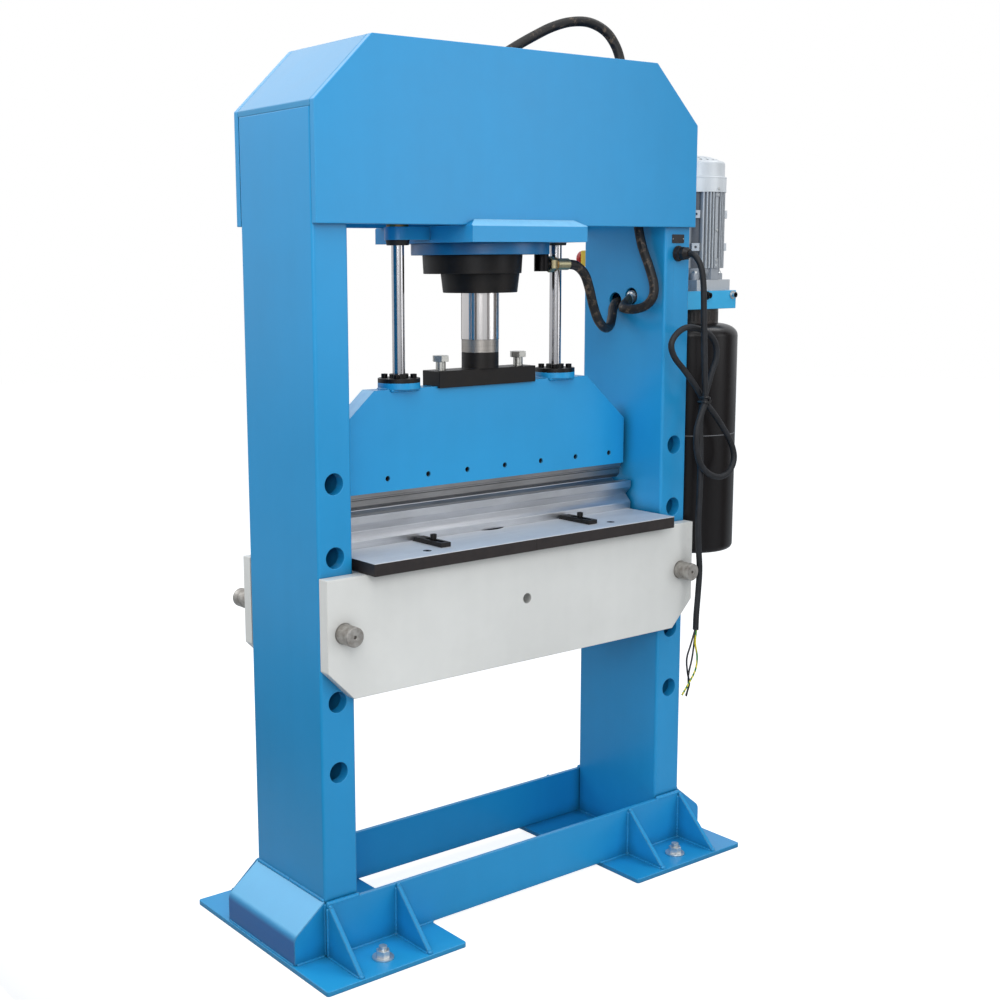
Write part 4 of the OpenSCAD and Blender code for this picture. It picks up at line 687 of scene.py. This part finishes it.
rod_foot_h = 0.026
rod_foot_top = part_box("clamp_bar")[1].z + rod_foot_h
chrome, w = material("rod_chrome", Metallic=1, Specular_IOR_Level=0.5)
place = w.node("TexCoord", out="Object")
height = w.node("SeparateXYZ", out="Z", Vector=place)
foot = height < rod_foot_top
draw = w.node("TexNoise", Vector=place.stretched(240, 240, 3), Scale=1, Detail=5)
turned = w.node("TexNoise", Vector=place.stretched(14, 14, 1600), Scale=1, Detail=4)
finish(chrome, Base_Color=foot.tint(draw.tint(srgb(196, 192, 190), srgb(226, 222, 220)),
                                    turned.tint(srgb(138, 132, 126), srgb(192, 187, 181))),
       Roughness=foot * 0.22 + draw * 0.06 + 0.15,
       Normal=w.node("Bump", Strength=0.1, Distance=0.0003, Height=foot * turned))
dress("piston_rod", chrome, 0.0008)


# ---- Guides ----
# Two hard-chromed rods keep the ram square. They stand on flanges screwed to the ram and run
# up through bronze bushes, with rubber wipers, in the lugs of the cross slab.

bronze = metal("bronze", srgb(176, 141, 87), 0.3, (60, 60, 700), 0.25)
wiper_rubber = rubber("wiper_rubber", srgb(26, 26, 27), srgb(56, 54, 52), 0.5)
dress("guide_bushes", bronze, 0.0006)
dress("wiper_rings", wiper_rubber, 0.0006)
guide_chrome = metal("guide_chrome", srgb(192, 191, 193), 0.14, (220, 220, 3), 0.12, spread=0.04)
dress("guide_rods", guide_chrome, 0.0008)
dress("guide_flanges", black_oxide, 0.0007)

# The flange screws are black; the two tall clamp bolts between them are zinc plated
screw_mix, w = material("ram_screw_finish", Metallic=0.9)
place = w.node("TexCoord", out="Object")
across = w.node("SeparateXYZ", out="X", Vector=place)
clamp_reach = 0.14                               # the flange screws lie farther out than this
clamp = w.maths("ABSOLUTE", across - middle_x) < clamp_reach
speck = w.node("TexNoise", Vector=place, Scale=240, Detail=4)
finish(screw_mix, Base_Color=clamp.tint(speck.tint(srgb(18, 18, 20), srgb(44, 42, 42)),
                                        speck.tint(srgb(168, 166, 158), srgb(214, 214, 210))),
       Roughness=speck * 0.2 + 0.24)
dress("ram_screws", screw_mix, 0.0005, 25)


# ---- Ram ----
# The ram is one thick flame-cut plate with its upper corners cut off, sprayed blue. A black
# clamp bar straddles its top edge and is held down by two bolts.

# A lighter copy of the frame's blue as painted light, with a painted highlight on the cut corners
ram_enamel_painted_light = painted("ram_enamel_painted_light", srgb(34, 163, 225), srgb(122, 200, 240), painted_highlight_dir=(0.656, 0, 0.755))
dress("ram_plate", ram_enamel_painted_light)
dress("clamp_bar", black_oxide, 0.0012)

# The flanges' bosses are welded to the ram along its faces and round their ends
rods_low, rods_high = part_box("guide_rods")
flanges_low, flanges_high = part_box("guide_flanges")
guide_r, half_t = 0.0125, 0.020                  # of the rods, and of the ram's plate
guide_x = (rods_high.x - rods_low.x) / 2 - guide_r
ram_top = rods_low.z
boss_r = (flanges_high.y - flanges_low.y) / 2
reach = math.sqrt(boss_r**2 - half_t**2) - 0.001
bead_y, bead_z = -half_t - 0.0015, ram_top - 0.001
boss_runs = [(0.0048, [(guide_x - reach, bead_y, bead_z), (guide_x + reach, bead_y, bead_z)])]
rim = math.asin((half_t - 0.001) / boss_r)
arc = [rim * k / 4 for k in range(-4, 5)]
for end in (-1, 1):
    boss_runs.append((0.0030, [(guide_x + end * boss_r * math.cos(a), boss_r * math.sin(a), ram_top)
                               for a in arc]))
weld("ram_boss_welds", mirrored(boss_runs), "ram")


# ---- Punch ----
# The punch is a planed bar of hardened tool steel. Its tang slides into the ram's slot and
# eight black set screws press on it.

def planed(name, dark, bright):
    """Steel with the long fine lines that a planer's tool leaves."""
    made, w = material(name, Metallic=1, Specular_IOR_Level=0.5)
    place = w.node("TexCoord", out="Object")
    lines = w.node("TexNoise", Vector=place.stretched(2.2, 700, 700), Scale=1, Detail=7, Roughness=0.7)
    shade = w.node("TexNoise", Vector=place.stretched(7, 24, 24), Scale=1, Detail=5, Roughness=0.6)
    shade = ((shade - 0.25) * 2.0).limited()
    return finish(made, Base_Color=(shade * 0.4 + lines * 0.6).tint(dark, bright),
                  Roughness=shade * 0.08 + lines * 0.12 + 0.27,
                  Normal=w.node("Bump", Strength=0.2, Distance=0.0003, Height=lines))


dress("punch", planed("punch_steel", srgb(110, 108, 106), srgb(174, 174, 176)), 0.0003)
dress("punch_screws", black_oxide, 0.0004)


# ---- Bed ----
# Two thick plates in off-white enamel stand across the front and back of the columns. They
# hang on two turned steel pins, which can be drawn out to set the bed at another height.

pale_enamel = painted("pale_enamel", srgb(240, 239, 234), srgb(142, 114, 90), 0.42, grime=0.05)
dress("bed_beam_front bed_beam_rear", pale_enamel, 0.0014)
pin_steel = metal("pin_steel", srgb(206, 202, 196), 0.44, (60, 900, 60), 0.45, 0.75,
                  srgb(84, 70, 58), 0.12, 70)
dress("bed_pin_left bed_pin_right", pin_steel, 0.0016)


# ---- Table ----
# Two ground steel plates lie end to end on the bed, screwed down through countersunk holes.
# Their tops are bright; their sides keep the black skin of the rolling mill.

ground_t = 0.0012                                # how far down from its top a plate is bright
table_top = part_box("table_left")[1].z
ground_plate, w = material("ground_plate", Specular_IOR_Level=0.5)
place = w.node("TexCoord", out="Object")
height = w.node("SeparateXYZ", out="Z", Vector=place)
bright = height > table_top - ground_t
lines = w.node("TexNoise", Vector=place.stretched(3, 620, 620), Scale=1, Detail=6, Roughness=0.65)
shade = w.node("TexNoise", Vector=place.stretched(5, 12, 5), Scale=1, Detail=5, Roughness=0.6)
shade = ((shade - 0.2) * 1.6).limited()
skin = w.node("TexNoise", Vector=place, Scale=34, Detail=6, Roughness=0.65)
black_skin = skin.tint(srgb(24, 22, 24), srgb(62, 54, 52))
ground_top = (shade * 0.4 + lines * 0.6).tint(srgb(196, 199, 204), srgb(246, 248, 250))
finish(ground_plate, Base_Color=bright.tint(black_skin, ground_top),
       Roughness=bright * (shade * 0.06 + lines * 0.1) + 0.5,
       Metallic=bright * 0.3 + 0.3,
       Normal=w.node("Bump", Strength=0.14, Distance=0.0003, Height=lines * bright + skin * (1 - bright)))
dress("table_left table_right", ground_plate, 0.0009)
dress("table_screws", black_oxide, 0.0004, 25)


# ---- Die ----
# The die is a planed tool steel block with a V of another size in each side, so that it can
# be turned. Two slotted black bars, screwed to the table, keep it in place.

dress("die_block", planed("die_steel", srgb(152, 154, 158), srgb(222, 224, 228)), 0.0006)
dress("stop_left stop_right", black_oxide, 0.0008)


# ---- Power pack ----
# A blue angle bracket, welded to the column, carries an aluminium manifold block. Below it
# hangs the pressed steel oil tank on its fluted neck, with the gear pump inside.

# The bracket's enamel is a lighter copy of the frame's blue: painted light
dress("pack_bracket", painted("bracket_enamel_painted_light", srgb(58, 184, 238), srgb(150, 214, 246)), 0.0012)

# The bolt near the bracket's free end has a black head on a bright washer; the other is black
bolt_low, bolt_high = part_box("bracket_bolts")
bolt_x, bolt_z = bolt_high.x - 0.0095, (bolt_low.z + bolt_high.z) / 2
head_r, bolt_reach = 0.0058, 0.02
bolt_finish, w = material("bolt_finish", Metallic=0.9)
place = w.node("TexCoord", out="Object")
from_x = w.node("SeparateXYZ", out="X", Vector=place) - bolt_x
from_z = w.node("SeparateXYZ", out="Z", Vector=place) - bolt_z
washer = (from_x * from_x + from_z * from_z) > head_r**2
washer = washer * (w.maths("ABSOLUTE", from_x) < bolt_reach)
speck = w.node("TexNoise", Vector=place, Scale=300, Detail=4)
finish(bolt_finish, Base_Color=washer.tint(speck.tint(srgb(18, 18, 20), srgb(46, 44, 44)),
                                           speck.tint(srgb(172, 176, 178), srgb(222, 226, 228))),
       Roughness=speck * 0.2 + 0.24)
dress("bracket_bolts", bolt_finish, 0.0005, 25)
block = metal("milled_aluminium", srgb(200, 204, 208), 0.4, (400, 400, 30), 0.12, 0.35)
dress("manifold pump_body", block, 0.0010)
yellow_zinc = metal("yellow_zinc", srgb(188, 180, 146), 0.3, (500, 500, 500), 0.25, 0.95,
                    srgb(150, 132, 92))
dress("oil_pipes", yellow_zinc, 0.0005)

# The fittings are black at the cylinder's ports and yellow along the lower ferrule. At the
# column the upper elbow starts dull, and what goes into the column is bright zinc
elbow_end, yellow_to, dull_to = middle_x + 0.131, middle_x + 0.25, middle_x + 0.396
fitting_finish, w = material("fitting_finish", Metallic=0.85)
place = w.node("TexCoord", out="Object")
along = w.node("SeparateXYZ", out="X", Vector=place)
speck = w.node("TexNoise", Vector=place, Scale=300, Detail=4)
plated = (along > yellow_to).tint(speck.tint(srgb(142, 136, 104), srgb(196, 190, 156)),
                                  speck.tint(srgb(66, 62, 52), srgb(98, 92, 80)))
plated = (along > dull_to).tint(plated, speck.tint(srgb(168, 170, 166), srgb(226, 228, 228)))
finish(fitting_finish, Base_Color=(along < elbow_end).tint(plated, srgb(24, 23, 24)),
       Roughness=speck * 0.14 + 0.24)
dress("hose_fittings", fitting_finish, 0.0006, 25)

# A bright union nut and a brass ring join the lower hose's ferrule to its black elbow
nut_y, nut_z = (measure / 1000 for measure in lower_route[0][1:])
nut_place = Matrix.Translation((elbow_end, nut_y, nut_z)) @ Matrix.Rotation(math.pi / 2, 4, "Y")
bore_r, nut_h, ring_h = 0.0122, 0.016, 0.004
bm = bmesh.new()
lathe(bm, [(bore_r, 0), (0.0152, 0), (0.0164, 0.0016), (0.0164, nut_h - 0.0016), (0.0152, nut_h),
           (bore_r, nut_h), (bore_r, 0)], 6, nut_place)
union_nut = built("union_nut", bm, yellow_zinc)
ring_end = nut_h + ring_h
bm = bmesh.new()
lathe(bm, [(bore_r, nut_h), (0.0142, nut_h), (0.0148, nut_h + 0.001), (0.0148, ring_end - 0.001),
           (0.0142, ring_end), (bore_r, ring_end), (bore_r, nut_h)], 40, nut_place)
brass_ring = built("brass_ring", bm, bronze)
for piece, slot in ((union_nut, "zinc"), (brass_ring, "bronze")):
    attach(piece, "frame")

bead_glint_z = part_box("tank")[0].z + 0.267          # a pale line, painted as a bead's highlight, goes round the tank here
bead_glint_half = 0.0008
tank_enamel, w = material("tank_enamel", Metallic=0, Specular_IOR_Level=0.22, Coat_Roughness=0.2)
place = w.node("TexCoord", out="Object")
height = w.node("SeparateXYZ", out="Z", Vector=place)
cloud = w.node("TexNoise", Vector=place.stretched(8, 8, 1.5), Scale=1, Detail=4)
dust = w.node("TexNoise", Vector=place, Scale=420, Detail=3)
gap = w.node("TexNoise", Vector=place.stretched(16, 16, 16), Scale=1, Detail=2)
# Painted highlight: a pale broken line round the tank where a bead would catch the light
scratch = (w.maths("ABSOLUTE", height - bead_glint_z) < bead_glint_half) * (gap > 0.46)
black_coat = cloud.tint(srgb(8, 8, 12), srgb(26, 21, 20))
finish(tank_enamel, Base_Color=(scratch * 0.8).tint(black_coat, srgb(150, 150, 152)),
       Roughness=cloud * 0.12 + dust * 0.06 + 0.24, Coat_Weight=0.12 - scratch * 0.1,
       Normal=w.node("Bump", Strength=0.06, Distance=0.001, Height=cloud * 0.4 + dust * 0.6))
dress("tank", tank_enamel)
black_nylon = rubber("black_nylon", srgb(24, 22, 22), srgb(58, 46, 40), 0.36)
dress("tank_neck", black_nylon, 0.0006)
dress("drive_gear driven_gear", worn_steel, 0.0004)


# ---- Motor ----
# The motor stands on the manifold: a cast aluminium bell, a finned housing and a pressed
# steel cowl over the fan, all in light grey enamel.

def cast(name, colour, grain_size, rough):
    """Grey enamel on metal; the casting's grain shows through it."""
    made, w = material(name, Metallic=0.15, Specular_IOR_Level=0.5)
    place = w.node("TexCoord", out="Object")
    grain = w.node("TexNoise", Vector=place, Scale=grain_size, Detail=5, Roughness=0.6)
    cloud = w.node("TexNoise", Vector=place, Scale=9, Detail=4)
    dull = tuple(v * 0.8 for v in colour[:3]) + (1,)
    return finish(made, Base_Color=(cloud * 0.6 + grain * 0.4).tint(dull, colour),
                  Roughness=grain * 0.14 + rough,
                  Normal=w.node("Bump", Strength=0.22, Distance=0.0006, Height=grain))


housing_grey = cast("housing_grey", srgb(170, 175, 181), 260, 0.38)
cowl_low, cowl_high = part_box("fan_cowl")
pack_x, pack_y = (cowl_low.x + cowl_high.x) / 2, (cowl_low.y + cowl_high.y) / 2
cowl_r = (cowl_high.y - cowl_low.y) / 2

# The gaps between the fins are darkened as painted shade; their edges are lightened as a painted highlight
fin_root_r = cowl_r - 0.0095
finned_grey_painted_shade, w = material("finned_grey_painted_shade", Metallic=0.15, Specular_IOR_Level=0.5)
place = w.node("TexCoord", out="Object")
flat = w.node("VectorMath", {"operation": "SUBTRACT"}, _0=place.stretched(1, 1, 0), _1=(pack_x, pack_y, 0))
out_r = w.node("VectorMath", {"operation": "LENGTH"}, out="Value", _0=flat)
rise = ((out_r - fin_root_r) * 130).limited()
grain = w.node("TexNoise", Vector=place, Scale=260, Detail=5, Roughness=0.6)
finish(finned_grey_painted_shade, Base_Color=(rise * 0.85 + grain * 0.15).tint(srgb(62, 68, 78), srgb(200, 205, 210)),
       Roughness=grain * 0.14 + 0.36, Normal=w.node("Bump", Strength=0.2, Distance=0.0006, Height=grain))
cowl_grey = cast("cowl_grey", srgb(232, 236, 239), 500, 0.34)
dress("end_bell", housing_grey, 0.0005)
dress("motor_housing", finned_grey_painted_shade, 0.0005)
dress("fan_cowl", cowl_grey)
dress("fan", housing_grey, 0.0004)
dress("rotor_shaft motor_bearings", worn_steel, 0.0004)
winding = metal("winding", srgb(158, 96, 58), 0.4, (30, 30, 500), 0.35, 0.8)
dress("stator", winding, 0.0005)

# A rolled rim goes round the cowl above its straight skirt
axis = Matrix.Translation((pack_x, pack_y, 0))
rim_z = cowl_low.z + 0.031
rolled = [(-0.003, -0.002), (0.0002, -0.0016), (0.0004, 0.0004), (-0.0008, 0.0022), (-0.0032, 0.003),
          (-0.0042, 0.0006), (-0.003, -0.002)]
bm = bmesh.new()
lathe(bm, [(cowl_r + out, rim_z + up) for out, up in rolled], 96, axis)
cowl_rim = built("cowl_rim", bm, cowl_grey)

# Four small screws hold the cowl to the housing
outwards = Matrix.Rotation(math.pi / 2, 4, "Y")
quarters = [axis @ Matrix.Rotation(math.radians(turned), 4, "Z") for turned in (0, 90, 180, 270)]
bm = bmesh.new()
for quarter in quarters:
    lathe(bm, [(0, 0.0032), (0.0018, 0.003), (0.0034, 0.0018), (0.0036, 0), (0.0036, -0.001), (0, -0.001)],
          20, quarter @ Matrix.Translation((cowl_r - 0.0005, 0, cowl_low.z + 0.007)) @ outwards)
cowl_screws = built("cowl_screws", bm, zinc)

# Cast lugs close the channel down each quarter of the housing; screws sit in it, and four
# more lugs with hexagon bolts hold the bell to the manifold
case_bottom, case_top = (corner.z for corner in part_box("motor_housing"))
bell_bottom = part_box("end_bell")[0].z
channel_r, corner_r = cowl_r - 0.0035, 0.054     # how far out the two kinds of lug stand
pad_t, pad_w = 0.004, 0.014
lug_h, lug_r, hexagon_r, hexagon_h = 0.014, 0.0095, 0.0062, 0.0055
pad_rows = ((case_bottom + 0.011, 0.022), (case_top - 0.006, 0.009))
screw_rows = (case_bottom + 0.006, case_bottom + 0.017, (case_bottom + case_top) / 2, case_top - 0.006)
screw_shape = [(0, 0.0046), (0.0012, 0.0046), (0.0012, 0.0034), (0.0026, 0.0034), (0.003, 0.0028),
               (0.003, 0), (0, 0)]
bm, screws = bmesh.new(), bmesh.new()
for quarter in quarters:
    for height, tall in pad_rows:
        bmesh.ops.create_cube(bm, size=1, matrix=quarter @ Matrix.Translation((channel_r, 0, height))
                              @ Matrix.Diagonal((pad_t, pad_w, tall, 1)))
    for height in screw_rows:
        lathe(screws, screw_shape, 16,
              quarter @ Matrix.Translation((channel_r - 0.0008, 0, height)) @ outwards)
    corner = (quarter @ Matrix.Rotation(math.radians(45), 4, "Z")
              @ Matrix.Translation((corner_r, 0, bell_bottom)))
    lathe(bm, [(0, 0), (lug_r, 0), (lug_r, lug_h - 0.0015), (lug_r - 0.001, lug_h), (0, lug_h)], 24, corner)
    lathe(screws, [(0, lug_h), (hexagon_r, lug_h), (hexagon_r, lug_h + hexagon_h - 0.001),
                   (hexagon_r - 0.0008, lug_h + hexagon_h), (0, lug_h + hexagon_h)], 6, corner)
sharp, shortest = 1.4, 0.003                     # in radians and metres, of the edges to round
pad_edges = [e for e in bm.edges if len(e.link_faces) == 2 and e.calc_face_angle(0) > sharp
             and e.calc_length() > shortest]
bmesh.ops.bevel(bm, geom=pad_edges, offset=0.0008, segments=2, affect="EDGES")
motor_lugs = built("motor_lugs", bm, housing_grey)
motor_screws = built("motor_screws", screws, zinc)
for piece, slot in ((cowl_rim, "motor_grey"), (cowl_screws, "zinc"), (motor_lugs, "motor_grey"),
                    (motor_screws, "zinc")):
    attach(piece, "frame")


# ---- Controls ----
# A small black plate is riveted to the right-hand column above the cable's nylon gland. The
# emergency stop is a yellow plastic box with a red mushroom button on the column's back.

dress("cable_gland", black_nylon, 0.0006, 25)


def moulded(name, colour, faded):
    """Moulded plastic with a fine spark grain, a little faded in places."""
    made, w = material(name, Metallic=0, Specular_IOR_Level=0.5)
    place = w.node("TexCoord", out="Object")
    fade = w.node("TexNoise", Vector=place, Scale=30, Detail=4)
    spark = w.node("TexNoise", Vector=place, Scale=1400, Detail=2)
    return finish(made, Base_Color=fade.tint(colour, faded), Roughness=fade * 0.1 + spark * 0.08 + 0.26,
                  Normal=w.node("Bump", Strength=0.2, Distance=0.0002, Height=spark))


yellow_plastic = moulded("yellow_plastic", srgb(246, 200, 40), srgb(252, 216, 80))
red_plastic = moulded("red_plastic", srgb(186, 22, 20), srgb(208, 42, 34))
dress("estop_box", yellow_plastic, 0.0025, segments=3)
dress("estop_button", red_plastic, 0.0016, segments=3)

plate_x, plate_z = middle_x + 0.44325, 1.357
plate_w, plate_h, plate_t, plate_r, rivet_in = 0.0365, 0.018, 0.0008, 0.0015, 0.0025
bm = bmesh.new()
corners = []
for cx, cz, start in ((1, 1, 0), (-1, 1, 90), (-1, -1, 180), (1, -1, 270)):
    for k in range(5):
        a = math.radians(start + 22.5 * k)
        corners.append(Vector((plate_x + cx * (plate_w / 2 - plate_r) + plate_r * math.cos(a), -half_d,
                               plate_z + cz * (plate_h / 2 - plate_r) + plate_r * math.sin(a))))
prism(bm, corners, (0, -plate_t, 0))
label_black = rubber("label_black", srgb(24, 24, 26), srgb(46, 46, 48), 0.34)
label_plate = built("label_plate", bm, label_black)
bm = bmesh.new()
for side in (-1, 1):
    lathe(bm, [(0, 0.0011), (0.0008, 0.0009), (0.0013, 0.0002), (0.0013, -0.0002), (0, -0.0002)], 16,
          Matrix.Translation((plate_x + side * (plate_w / 2 - rivet_in), -half_d - plate_t, plate_z))
          @ Matrix.Rotation(math.pi / 2, 4, "X"))
label_rivets = built("label_rivets", bm, zinc)
for piece, slot in ((label_plate, "black_plastic"), (label_rivets, "zinc")):
    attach(piece, "frame")
